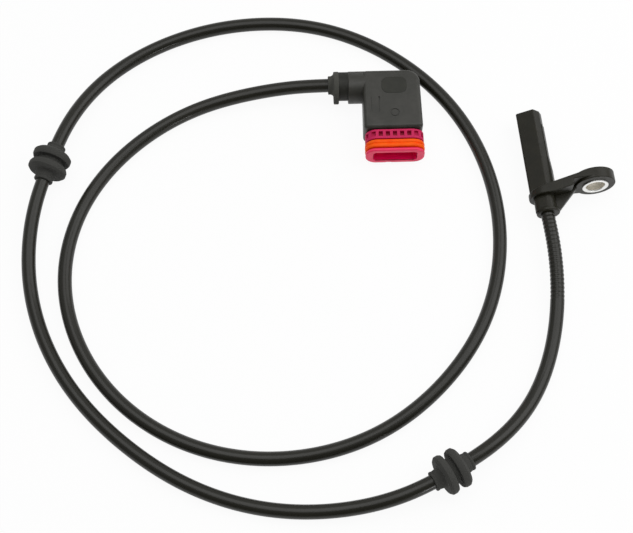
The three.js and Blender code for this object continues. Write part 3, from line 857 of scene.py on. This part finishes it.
    def build(self) -> Piece:
        """Sweeps the round section along the route.

        Returns:
            The sheath, closed at both ends.
        """
        mesh = bmesh.new()
        uv_layer = mesh.loops.layers.uv.new(self.UV_NAME)
        side = Vector((0, 0, -1))
        rings = []
        distances = self.stations()
        for distance in distances:
            forward = self.along(distance)
            side = (side - forward * side.dot(forward)).normalized()
            across = forward.cross(side)
            centre = self.at(distance)
            radius = self.radius(distance)
            ring = []
            for i in range(self.SIDES):
                angle = 2 * math.pi * i / self.SIDES
                point = centre + (side * math.cos(angle) + across * math.sin(angle)) * radius
                ring.append(mesh.verts.new(point * MM))
            rings.append(ring)
        for row, (near, far) in enumerate(zip(rings, rings[1:])):
            for i in range(self.SIDES):
                j = (i + 1) % self.SIDES
                face = mesh.faces.new((near[i], near[j], far[j], far[i]))
                around = (i / self.SIDES, (i + 1) / self.SIDES)
                ends = (distances[row] * MM, distances[row + 1] * MM)
                for loop, (u, v) in zip(face.loops, ((0, 0), (1, 0), (1, 1), (0, 1))):
                    loop[uv_layer].uv = (around[u] * self.DIAMETER * math.pi * MM, ends[v])
        mesh.faces.new(rings[0][::-1])
        mesh.faces.new(rings[-1])
        data = bpy.data.meshes.new("lead_sheath")
        mesh.to_mesh(data)
        mesh.free()
        piece = bpy.data.objects.new("lead_sheath", data)
        bpy.context.scene.collection.objects.link(piece)
        Bench.focus(piece)
        bpy.ops.object.shade_smooth_by_angle(angle=math.radians(50))
        data.materials.append(SHEATH.material())
        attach(piece, BODY)
        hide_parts("lead_jacket")
        LOG.info("lead_sheath: %.1f mm long, %d faces", self.length, len(data.polygons))
        return piece

    def lay(self, piece: Piece, knot: int) -> None:
        """Bends a straight piece along the route.

        Args:
            piece: A piece round the upright axis, in millimetres times MM.
            knot: The point of the route that takes its origin.
        """
        middle = self.reach[knot * self.CUTS]
        for vertex in piece.data.vertices:
            distance = middle + vertex.co.z / MM
            forward = self.along(distance)
            side = forward.cross(Vector((0, 0, 1))).normalized()
            up = side.cross(forward)
            vertex.co = self.at(distance) * MM + side * vertex.co.x + up * vertex.co.y
        piece.data.update()

    def declare(self) -> None:
        """Works out points along the route, about every 2 mm, and does nothing more with them.
        """
        count = round(self.length / 2)
        path = [self.at(self.length * i / count) * MM for i in range(count + 1)]


@dataclass
class Grommet:
    """A rubber grommet of two round discs with a groove between them, gripping the lead."""

    number: int
    knot: int
    disc_radius: float = 7.3
    disc_width: float = 3.2
    disc_round: float = 0.9
    groove_width: float = 2.1
    groove_radius: float = 4.8
    sleeve_radius: float = 3.75
    sleeve_end_radius: float = 3.4
    sleeve_length: float = 3.4
    sleeve_foot: float = 0.5
    grip: float = 0.15
    lip: float = 0.15

    def build(self, sheath: Sheath) -> Piece:
        """Turns the grommet and bores it along the lead.

        Args:
            sheath: The lead that it grips.

        Returns:
            The finished grommet.
        """
        groove = self.groove_width / 2
        disc_end = groove + self.disc_width
        end = disc_end + self.sleeve_length
        disc, crown = self.disc_radius, self.disc_round
        sleeve, tail = self.sleeve_radius, self.sleeve_end_radius
        half = [
            (self.groove_radius, groove - 0.02), (disc - crown / 2, groove), (disc, groove + crown),
            (disc, disc_end - crown), (disc - crown, disc_end), (sleeve + self.sleeve_foot, disc_end),
            (sleeve, disc_end + self.sleeve_foot), (tail, end - 1.1), (tail + self.lip, end - 0.8),
            (tail + self.lip, end - 0.2), (tail, end), (Sheath.DIAMETER / 2 + 0.02, end)]
        rings = [(radius, -along) for radius, along in reversed(half)] + half
        inner = Sheath.DIAMETER / 2 - self.grip
        rings = rings + [(inner, end - 0.3), (inner, 0.3 - end), rings[0]]
        piece = Bench.turned(rings, sides=72, hollow=True)
        Bench.soften(piece, 0.3, 3, 28)
        sheath.lay(piece, self.knot)
        Bench.dress(piece, f"rubber_grommet_{self.number}", GROMMET, (f"grommet_{self.number}",))
        return piece


@dataclass
class SensorHead:
    """The moulded head with its chamfered tip, its slanted arm, its round boss and the metal bush."""

    axis: Triple = (-10.224, -21.4, 6.2)
    length: float = 42.8
    roll: float = 25.5
    collar_radius: float = 4.4
    collar_length: float = 1.8
    root_width: float = 7.9
    root_corner: float = 2.6
    root_side: float = -0.35
    plate_start: float = 6.4
    plate_thickness: float = 3.6
    flange_radius: float = 6.2
    tip_width: float = 8.5
    tip_depth: float = 6.6
    tip_corner: float = 0.8
    tip_side: float = -0.85
    chamfer_width: float = 1.45
    chamfer_depth: float = 3.25
    rail_width: float = 2.5
    rail_height: float = 0.25
    rail_foot_height: float = 0.65
    rail_foot_length: float = 9.5
    rail_taper: float = 6.5
    rail_end: float = 5.5
    eye_radius: float = 7.6
    eye_thickness: float = 4.3
    eye_offset: float = 19.1
    eye_step: float = 3.0
    eye_relief: float = 0.9
    relief_width: float = 1.6
    arm_thickness: float = 4.2
    arm_short: float = 1.25
    web_thickness: float = 2.8
    web_bite: float = 0.8
    bush_radius: float = 4.9
    bush_bore_radius: float = 3.5
    bush_proud: float = 0.5
    bush_fit: float = 0.02
    bush_chamfer: float = 0.35
    plate_edge: float = 0.4
    boss_edge: float = 0.35
    tip_edge: float = 0.28
    rail_edge: float = 0.12
    collar_edge: float = 0.55
    web_edge: float = 0.3
    bush_edge: float = 0.15
    wall: float = 1.1
    cavity: Triple = (4.17, 4.4, 9.6)
    core_bore_radius: float = 1.95

    def __post_init__(self) -> None:
        """Works out where the eye stands."""
        self.eye_z = self.eye_radius - self.flange_radius
        self.eye_x = math.sqrt(self.eye_offset ** 2 - self.eye_z ** 2)
        self.eye_start = self.plate_start + self.eye_step
        self.eye_end = self.eye_start + self.eye_thickness
        self.plate_end = self.plate_start + self.plate_thickness
        self.tip_start = self.plate_start + self.plate_thickness / 2
        self.place = Matrix.Translation(self.axis)
        self.eye_place = self.place @ Matrix.Translation((self.eye_x, 0, self.eye_z)) @ ALONG_Y
        roll = Matrix.Rotation(math.radians(-self.roll), 4, "Y")
        self.tip_place = self.place @ Matrix.Translation((self.tip_side, 0, 0)) @ roll
        self.root_place = self.place @ Matrix.Translation((self.root_side, 0, 0)) @ roll

    def arm_plan(self) -> list[Ring]:
        """Draws the flange and the slanted arm from above, with the step back before the boss.

        Returns:
            Corners of the outline.
        """
        left = -self.flange_radius * 2
        reach = self.eye_x - self.arm_short
        slope = (self.eye_end - self.plate_end) / reach
        step = self.eye_x - self.eye_radius - self.relief_width
        seat = self.eye_start + self.eye_relief
        return [
            (left, self.plate_start), ((self.arm_thickness - self.plate_thickness) / slope, self.plate_start),
            (step, self.plate_end + slope * step - self.arm_thickness), (step, seat), (reach, seat),
            (reach, self.eye_end), (left, self.plate_end + slope * left)]

    def lug(self) -> Piece:
        """Wraps the flange and the eye in one outline, cuts the arm out of it and adds the boss.

        Returns:
            The lug with its boss.
        """
        tall = self.eye_end + 1
        flange = Bench.turned(rod(self.flange_radius, 0, tall), 96, place=ALONG_Y)
        over = Matrix.Translation((self.eye_x, 0, self.eye_z)) @ ALONG_Y
        eye = Bench.turned(rod(self.eye_radius, 0, tall), 96, place=over)
        Bench.focus(flange)
        eye.select_set(True)
        bpy.ops.object.join()
        plate = bpy.context.object
        Bench.edit(plate)
        bpy.ops.mesh.convex_hull()
        bpy.ops.mesh.select_all(action="SELECT")
        bpy.ops.mesh.dissolve_limited(angle_limit=math.radians(0.5))
        Bench.close(plate)
        Bench.carve(plate, Carve.KEEP, Bench.slab(self.arm_plan(), -self.eye_radius * 2, self.eye_radius * 4))
        Bench.settle(plate, self.place)
        Bench.soften(plate, self.plate_edge, 3, 40)
        boss = Bench.turned(rod(self.eye_radius, self.eye_start, self.eye_end), 128, place=self.eye_place)
        Bench.soften(boss, self.boss_edge, 3, 40)
        return Bench.carve(plate, Carve.ADD, boss)

    def tip_outline(self) -> list[Ring]:
        """Draws the tip's section: three round corners and one long chamfer, with its upper side down.

        Returns:
            Corners of the section.
        """
        x, z, r = self.tip_width / 2, self.tip_depth / 2, self.tip_corner
        points = []
        for centre, begin in (((x - r, r - z), -90), ((r - x, z - r), 90), ((r - x, r - z), 180)):
            for i in range(7):
                angle = math.radians(begin + 15 * i)
                points.append((centre[0] + r * math.cos(angle), centre[1] + r * math.sin(angle)))
            if begin == -90:
                points += [(x, z - self.chamfer_depth), (x - self.chamfer_width, z)]
        return [(across, -up) for across, up in points]

    def rail_plan(self) -> list[Ring]:
        """Draws the rail beside the chamfer from above, thicker towards the flange.

        Returns:
            Corners of the outline.
        """
        face = self.tip_width / 2
        end = self.length - self.rail_end
        foot = self.tip_start + self.rail_foot_length
        return [
            (face - 0.5, self.tip_start), (face + self.rail_foot_height, self.tip_start),
            (face + self.rail_foot_height, foot), (face + self.rail_height, foot + self.rail_taper),
            (face + self.rail_height, end - self.rail_height), (face, end), (face - 0.5, end)]

    def tip(self) -> Piece:
        """Draws the tip with its chamfer and the low rail beside it.

        Returns:
            The tip.
        """
        tip = Bench.slab(self.tip_outline(), self.tip_start, self.length - self.tip_start)
        Bench.soften(tip, self.tip_edge, 3, 20)
        Bench.settle(tip, self.tip_place @ ALONG_Y)
        rail = Bench.slab(self.rail_plan(), -self.rail_width, self.rail_width)
        Bench.soften(rail, self.rail_edge, 2, 40)
        Bench.settle(rail, self.tip_place)
        return Bench.carve(tip, Carve.ADD, rail)

    def root(self) -> Piece:
        """Joins the collar, the boxy root and the web that stiffens the arm.

        Returns:
            The root.
        """
        half = self.collar_length / 2
        along = self.place @ ALONG_Y
        collar = Bench.turned(rod(self.collar_radius, 0, self.collar_length), 96, place=along)
        Bench.soften(collar, self.collar_edge, 4, 40)
        root = Bench.lofted(
            self.root_width, self.root_width, self.root_corner, [(half, 1, 1), (self.tip_start, 1, 1)], 6,
            place=self.root_place @ ALONG_Y)
        reach = self.eye_x - self.eye_radius + self.web_bite
        web = Bench.slab([
            (0, half), (self.collar_radius, half), (reach, self.eye_start),
            (reach, self.eye_start + self.eye_relief + 0.5),
            (0, self.tip_start)], -self.web_thickness / 2, self.web_thickness, place=self.place)
        Bench.soften(web, self.web_edge, 2, 40)
        return Bench.carve(collar, Carve.ADD, root, web)

    def housing(self) -> Piece:
        """Joins the moulded body and bores it for the bush and the cores.

        Returns:
            The finished head moulding.
        """
        body = self.lug()
        Bench.carve(body, Carve.ADD, self.tip(), self.root())
        hole = Bench.turned(rod(self.bush_radius + self.bush_fit, 0, 20), 96, place=self.eye_place)
        width, height, start = self.cavity
        cavity = Bench.lofted(
            width, height, 0.3, [(start, 1, 1), (self.length - self.wall, 1, 1)], 2,
            place=self.tip_place @ ALONG_Y)
        beside = self.place @ Matrix.Translation((self.tip_side, 0, 0)) @ ALONG_Y
        bore = Bench.turned(rod(self.core_bore_radius, -1, start + 1), 32, place=beside)
        Bench.carve(body, Carve.TAKE, hole, cavity, bore)
        Bench.dress(body, "head_moulding", MOULDED, ("sensor_housing",))
        return body

    def bush(self) -> Piece:
        """Turns the metal bush that the screw clamps.

        Returns:
            The finished bush.
        """
        inner, outer = self.bush_bore_radius, self.bush_radius
        start, end = self.eye_start - self.bush_proud, self.eye_end
        cut = self.bush_chamfer
        bush = Bench.turned([
            (inner + cut, start), (outer, start), (outer, end), (inner + cut, end), (inner, end - cut),
            (inner, start + cut), (inner + cut, start)], 96, hollow=True, place=self.eye_place)
        Bench.soften(bush, self.bush_edge, 2, 30)
        Bench.dress(bush, "clamp_bush", PLATED, ("mounting_bush",))
        axis = self.eye_place.translation

        def in_bore(face: Face) -> bool:
            """Says whether a face lines the bore."""
            x, y, z = face.center / MM
            facing_in = abs(face.normal.y) < 0.3
            return facing_in and math.hypot(x - axis.x, z - axis.z) < self.bush_bore_radius + 0.1

        # The bore's faces take a darker, duller copy of the plating: painted shade.
        Bench.accent(bush, BORE_SHADE, in_bore)
        return bush

    def build(self) -> list[Piece]:
        """Makes the head's visible pieces."""
        return [self.housing(), self.bush()]


@dataclass
class Plug:
    """The angled plug: grey housing, rear rubber, magenta carrier and lock, and the orange seal."""

    SHOULDER: ClassVar[list[Ring]] = [(4.9, -15.5), (4.9, -12.5), (6.2, -9.8)]
    LINES: ClassVar[tuple[Triple, ...]] = ((-5.45, -12.0, 4.8), (-8.4, -11.0, 6.0))
    OVERLAP: ClassVar[float] = 0.5

    at: Ring = (-62.1, 38.7)
    turn: float = -4.2
    thickness: float = 12.6
    width: float = 22.0
    side: float = -0.35
    flare: float = 0.6
    back: float = 4.3
    front: float = 21.1
    corner: float = 5.0
    edge: float = 1.6
    pad_size: Ring = (9.8, 7.2)
    pad_corner: float = 2.6
    pad_height: float = 0.5
    pad_sunk: float = 0.32
    pad_edge: float = 0.12
    pad_at: Ring = (0.6, -2.7)
    mark_radius: float = 1.75
    mark_line: float = 0.45
    mark_depth: float = 0.25
    mark_at: Ring = (0.4, -14.8)
    notch_size: Triple = (0.6, 1.9, 0.8)
    notch_at: Ring = (-5.35, -8.6)
    line_width: float = 0.3
    pocket_room: float = 0.6
    pocket_depth: float = 14
    chamber: Triple = (11.6, 10.9, 8.0)
    chamber_at: Ring = (0, -2.65)
    neck_radius: float = 6.25
    neck_end: float = 16.95
    neck_sunk: float = 2.0
    neck_edge: float = 0.3
    neck_bore_radius: float = 3.8
    groove_radius: float = 5.55
    groove_length: float = 3.3
    disc_radius: float = 6.3
    disc_length: float = 2.0
    disc_edge: float = 0.35
    collar_radius: float = 3.55
    collar_length: float = 2.1
    collar_edge: float = 0.25
    spigot_radius: float = 3.5
    spigot_length: float = 3.0
    lead_bore_radius: float = 1.95
    lead_back: float = 0.8
    lead_up: float = 0.8
    gap: float = 0.3
    lock_length: float = 4.0
    lock_width: float = 22.3
    lock_slit: float = 0.15
    lock_edge: float = 0.2
    window: Triple = (1.6, 2.0, 3.0)
    window_pitch: float = 2.7
    corner_window: Triple = (1.6, 2.0, 2.6)
    corner_window_at: Ring = (10.5, 3.3)
    corner_window_roll: float = 60
    seal_length: float = 3.1
    seal_width: float = 22.7
    seal_steps: int = 28
    rib_depth: float = 0.38
    band_height: float = 11.2
    band_corner: float = 4.6
    lip_length: float = 1.3
    lip_width: float = 22.5
    lip_height: float = 10.2
    lip_corner: float = 4.2
    lip_edge: float = 0.62
    rim_from: Ring = (8.4, 3.2)
    inner_width: float = 18.9
    inner_height: float = 8.2
    inner_corner: float = 3.0
    inner_back: float = 9.6
    inner_fit: float = 0.1
    mouth_size: Ring = (16.3, 5.9)
    mouth_corner: float = 1.2
    mouth_depth: float = 13
    mouth_lead_in: float = 0.35
    mouth_within: Ring = (8.2, 3.0)
    key_size: Triple = (2.2, 2.6, 1.4)
    key_at: Ring = (-2.3, -5.1)
    slot_size: Triple = (2.1, 13.0, 1.4)
    slot_at: float = 18.2
    blade_side: float = 2.5
    blade_size: Triple = (1.5, 0.8, 0.12)
    blade_reach: float = 5
    blade_sunk: float = 3

    def __post_init__(self) -> None:
        """Works out the plug's place and the joints between its pieces."""
        turn = Matrix.Rotation(math.radians(self.turn), 4, "Z")
        self.place = Matrix.Translation((*self.at, self.thickness / 2)) @ turn
        self.lengthways = self.place @ ALONG_Y
        self.crossways = self.place @ ALONG_X
        self.lock_end = -self.front - self.gap
        self.seal_end = self.lock_end - self.lock_length - self.gap
        self.lip_end = self.seal_end - self.seal_length - self.gap
        self.mouth = self.lip_end - self.lip_length
        seal = self.groove_length + self.disc_length + self.collar_length
        self.lead_end = -self.neck_end - self.gap - seal

    def spot(self, x: float, y: float, z: float = 0) -> Matrix:
        """Gives the place at that point of the plug."""
        return self.place @ Matrix.Translation((x, y, z))

    def where(self, face: Face) -> Vector:
        """Gives the middle of a finished piece's face as a point of the plug."""
        return self.place.inverted() @ (face.center / MM)

    def body_outline(self) -> list[Ring]:
        """Draws the housing's body from above, round at its free back corner.

        Returns:
            Corners of the outline.
        """
        half = self.width / 2
        wide = half + self.flare / 2
        arc = []
        for i in range(11):
            angle = math.radians(90 * i / 10)
            across = half - self.corner * (1 - math.cos(angle))
            arc.append((across, self.back - self.corner * (1 - math.sin(angle))))
        return [(-wide, -self.front), (wide, -self.front), *arc, (-half, self.back)]

    def housing(self) -> Piece:
        """Models the grey housing with its neck, pad and marks.

        Returns:
            The finished housing.
        """
        top = self.thickness / 2
        body = Bench.slab(self.body_outline(), -top, self.thickness)
        Bench.soften(body, self.edge, 5, 50)
        Bench.settle(body, self.spot(self.side, 0))
        neck = Bench.turned(rod(self.neck_radius, -self.neck_end, self.neck_sunk), 96, place=self.crossways)
        Bench.soften(neck, self.neck_edge, 2, 40)
        shoulder = Bench.turned(self.SHOULDER, place=self.crossways)
        pad = Bench.lofted(*self.pad_size, self.pad_corner, [(0, 1, 1), (self.pad_height, 0.97, 0.96)], 10)
        Bench.soften(pad, self.pad_edge, 2, 40)
        Bench.settle(pad, self.spot(*self.pad_at, top - self.pad_sunk))
        Bench.carve(body, Carve.ADD, neck, shoulder, pad)
        wide, narrow = self.mark_radius, self.mark_radius - self.mark_line
        tools = [
            Bench.turned([(wide, 0), (wide, 1), (narrow, 1), (narrow, 0), (wide, 0)], 48, hollow=True,
                         place=self.spot(*self.mark_at, top - self.mark_depth)),
            Bench.block(self.notch_size, self.spot(*self.notch_at, top))]
        for x, y, length in self.LINES:
            tools.append(Bench.block((self.line_width, length, self.line_width), self.spot(x, y, top)))
        tools.append(Bench.lofted(
            self.inner_width + self.pocket_room, self.inner_height + self.pocket_room, self.inner_corner,
            [(-self.front - 1, 1, 1), (-self.front + self.pocket_depth, 1, 1)], 6, place=self.lengthways))
        tools.append(Bench.block(self.chamber, self.spot(*self.chamber_at)))
        bore = rod(self.neck_bore_radius, -self.neck_end - 1, 0)
        tools.append(Bench.turned(bore, 48, place=self.crossways))
        Bench.carve(body, Carve.TAKE, *tools)
        Bench.dress(body, "plug_housing", HOUSING, ("connector_housing",), 20)
        # The pad's faces take a darker copy of the housing grey: painted shade.
        Bench.accent(body, PAD_SHADE, lambda face: self.where(face).z > top + 0.05)
        return body

    def rear_rubber(self) -> Piece:
        """Turns the rear seal: groove, disc and the small collar round the lead.

        Returns:
            The finished seal.
        """
        start = -self.neck_end - self.gap
        disc_start = start - self.groove_length
        foot = disc_start - self.disc_length
        off_centre = self.spot(0, self.lead_back / 2, self.lead_up / 2) @ ALONG_X
        at_lead = self.spot(0, self.lead_back, self.lead_up) @ ALONG_X
        groove = Bench.turned(
            rod(self.groove_radius, disc_start - self.OVERLAP, start + self.gap), 96, place=off_centre)
        spigot = Bench.turned(
            rod(self.spigot_radius, start - self.OVERLAP, start + self.spigot_length), place=self.crossways)
        disc = Bench.turned(rod(self.disc_radius, foot, disc_start), 96, place=self.crossways)
        Bench.soften(disc, self.disc_edge, 3, 40)
        radius = self.collar_radius
        collar = Bench.turned([
            (radius + 1.1, foot + self.OVERLAP), (radius + 1.0, foot), (radius + 0.35, foot - 0.35),
            (radius, foot - 1.0), (radius, self.lead_end)], 72, place=at_lead)
        Bench.soften(collar, self.collar_edge, 2, 25)
        Bench.carve(disc, Carve.ADD, groove, spigot, collar)
        hole = Bench.turned(rod(self.lead_bore_radius, self.lead_end - 1, 0), 32, place=at_lead)
        Bench.carve(disc, Carve.TAKE, hole)
        Bench.dress(disc, "rear_rubber", REAR_RUBBER, ("rear_seal",))
        # The groove's faces take a darker copy of the seal rubber: painted shade.
        Bench.accent(
            disc, GROOVE_SHADE_RUBBER, lambda face: disc_start + 0.05 < self.where(face).x < start + self.gap)
        return disc

    def carrier(self) -> Piece:
        """Models the magenta carrier with its mouth and front lip.

        Returns:
            The finished carrier.
        """
        lip = Bench.lofted(
            self.lip_width, self.lip_height, self.lip_corner,
            [(self.mouth, 1, 1), (self.mouth + self.lip_length, 1, 1)], 10, place=self.lengthways)
        Bench.soften(lip, self.lip_edge, 5, 45)
        core = Bench.lofted(
            self.inner_width, self.inner_height, self.inner_corner,
            [(self.mouth + 0.6, 1, 1), (-self.inner_back, 1, 1)], place=self.lengthways)
        Bench.carve(lip, Carve.ADD, core)
        mouth = Bench.lofted(*self.mouth_size, self.mouth_corner, [
            (self.mouth - 1, 1.06, 1.14), (self.mouth, 1.03, 1.07), (self.mouth + self.mouth_lead_in, 1, 1),
            (self.mouth + self.mouth_depth, 1, 1)], 6, place=self.lengthways)
        key_x, key_z = self.key_at
        tools = [mouth, Bench.block(self.key_size, self.spot(key_x, self.mouth, key_z))]
        for side in (-1, 1):
            place = self.spot(side * self.blade_side, self.mouth + self.slot_at)
            tools.append(Bench.block(self.slot_size, place))
        Bench.carve(lip, Carve.TAKE, *tools)
        # The carrier's base finish is a darker copy of the magenta: painted shade.
        Bench.dress(lip, "magenta_carrier", SHADED_MAGENTA, ("contact_carrier",))

        def on_rim(face: Face) -> bool:
            """Says whether a face is on the front rim."""
            x, y, z = self.where(face)
            outside = abs(x) > self.rim_from[0] or abs(z) > self.rim_from[1]
            return y < self.mouth + 0.02 or (y < self.mouth + self.lip_length + 0.05 and outside)

        def in_mouth(face: Face) -> bool:
            """Says whether a face lines the mouth."""
            x, y, z = self.where(face)
            within = abs(x) < self.mouth_within[0] and abs(z) < self.mouth_within[1]
            return within and self.mouth + 0.02 < y < self.mouth + self.mouth_depth + 0.1

        # The front rim takes a lighter copy of the magenta, a painted highlight; the mouth takes a brighter
        # copy, painted light.
        Bench.accent(lip, RIM_HIGHLIGHT_MAGENTA, on_rim)
        Bench.accent(lip, MOUTH_LIT_MAGENTA, in_mouth)
        return lip

    def ring(self, width: float, stations: list[Triple]) -> Piece:
        """Models a ring that goes round the carrier.

        Args:
            width: Full width.
            stations: Place along the plug, then the share of the width and of the height there.

        Returns:
            The ring, in its place.
        """
        ring = Bench.lofted(width, self.band_height, self.band_corner, stations, 10, place=self.lengthways)
        fit = self.inner_fit
        hole = Bench.lofted(
            self.inner_width + fit, self.inner_height + fit, self.inner_corner + fit / 2,
            [(stations[0][0] - 1, 1, 1), (stations[-1][0] + 1, 1, 1)], place=self.lengthways)
        return Bench.carve(ring, Carve.TAKE, hole)

    def lock(self) -> Piece:
        """Models the secondary lock with its row of square windows.

        Returns:
            The finished lock.
        """
        start = self.lock_end - self.lock_length
        middle = self.lock_end - self.lock_length / 2
        ring = self.ring(self.lock_width, [(start, 1, 1), (self.lock_end - self.lock_slit, 1, 1)])
        Bench.soften(ring, self.lock_edge, 2, 50)
        tools = []
        for i in range(-3, 4):
            for side in (-1, 1):
                place = self.spot(i * self.window_pitch, middle, side * self.band_height / 2)
                tools.append(Bench.block(self.window, place))
        x, z = self.corner_window_at
        for side in (-1, 1):
            tools.append(Bench.block(self.window[::-1], self.spot(side * self.lock_width / 2, middle)))
            for up in (-1, 1):
                roll = side * up * math.radians(self.corner_window_roll)
                place = self.spot(side * x, middle, up * z)
                tools.append(Bench.block(self.corner_window, place, (0, roll, 0)))
        Bench.carve(ring, Carve.TAKE, *tools)
        Bench.dress(ring, "window_lock", MAGENTA, ("secondary_lock",))
        return ring

    def seal(self) -> Piece:
        """Models the orange seal with its two round ribs.

        Returns:
            The finished seal.
        """
        start = self.seal_end - self.seal_length
        stations = []
        for i in range(self.seal_steps + 1):
            share = i / self.seal_steps
            inset = 2 * self.rib_depth * (1 - abs(math.sin(math.pi * share * 2)) ** 0.6)
            stations.append(
                (start + self.seal_length * share, 1 - inset / self.seal_width, 1 - inset / self.band_height))
        ring = self.ring(self.seal_width, stations)
        Bench.dress(ring, "orange_lip_seal", ORANGE, ("lip_seal",), 60)
        return ring

    def contacts(self) -> list[Piece]:
        """Models the two tinned blades with pointed ends.

        Returns:
            The finished blades.
        """
        tip = self.mouth + self.mouth_depth - self.blade_reach
        end = self.blade_sunk - self.inner_back
        blades = []
        for number, side in enumerate((-1, 1), 1):
            blade = Bench.lofted(
                *self.blade_size, [(tip, 0.55, 0.35), (tip + 0.9, 0.95, 0.9), (tip + 1.3, 1, 1), (end, 1, 1)],
                2, place=self.spot(side * self.blade_side, 0) @ ALONG_Y)
            Bench.dress(blade, f"blade_{number}", TIN, (f"plug_contact_{number}",))
            blades.append(blade)
        return blades

    def build(self) -> list[Piece]:
        """Makes the plug's visible pieces."""
        bands = [self.housing(), self.rear_rubber(), self.carrier(), self.lock(), self.seal()]
        return [*bands, *self.contacts()]


class Insides:
    """The pieces that the head and the plug hide, which keep their solids and get their finish."""

    FINISHES: dict[str, Finish] = {
        "chip_carrier": CARRIER, "hall_chip": RESIN, "bias_magnet": FERRITE, "chip_capacitor": CARRIER,
        "lead_strip_1": COPPER, "lead_strip_2": COPPER, "core_crimp_1": COPPER, "core_crimp_2": COPPER,
        "head_core_1": WHITE_CORE, "head_core_2": BROWN_CORE,
        "plug_core_1": WHITE_CORE, "plug_core_2": BROWN_CORE,
        "wire_seal_1": BLUE_SEAL, "wire_seal_2": BLUE_SEAL,
    }
    ON_LEAD = ("wire_seal_1", "wire_seal_2", "plug_core_1", "plug_core_2")

    def __init__(self, nodes: dict[str, Piece]) -> None:
        """Keeps the frame's solids by name."""
        self.nodes = nodes

    def dress(self) -> None:
        """Gives each hidden solid its finish."""
        for name, finish in self.FINISHES.items():
            node = self.nodes[name]
            node.data.materials.clear()
            node.data.materials.append(finish.material())


def main() -> None:
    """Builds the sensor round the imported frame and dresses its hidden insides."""
    logging.basicConfig(level=logging.INFO, format="%(name)s: %(message)s")
    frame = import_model()
    Studio().build()
    sheath = Sheath()
    lead = sheath.build()
    grommets = [Grommet(1, 6).build(sheath), Grommet(2, 16).build(sheath)]
    SensorHead().build()
    plug = Plug().build()
    insides = Insides(frame["nodes"])
    insides.dress()
    sheath.declare()


if __name__ == "__main__":
    main()
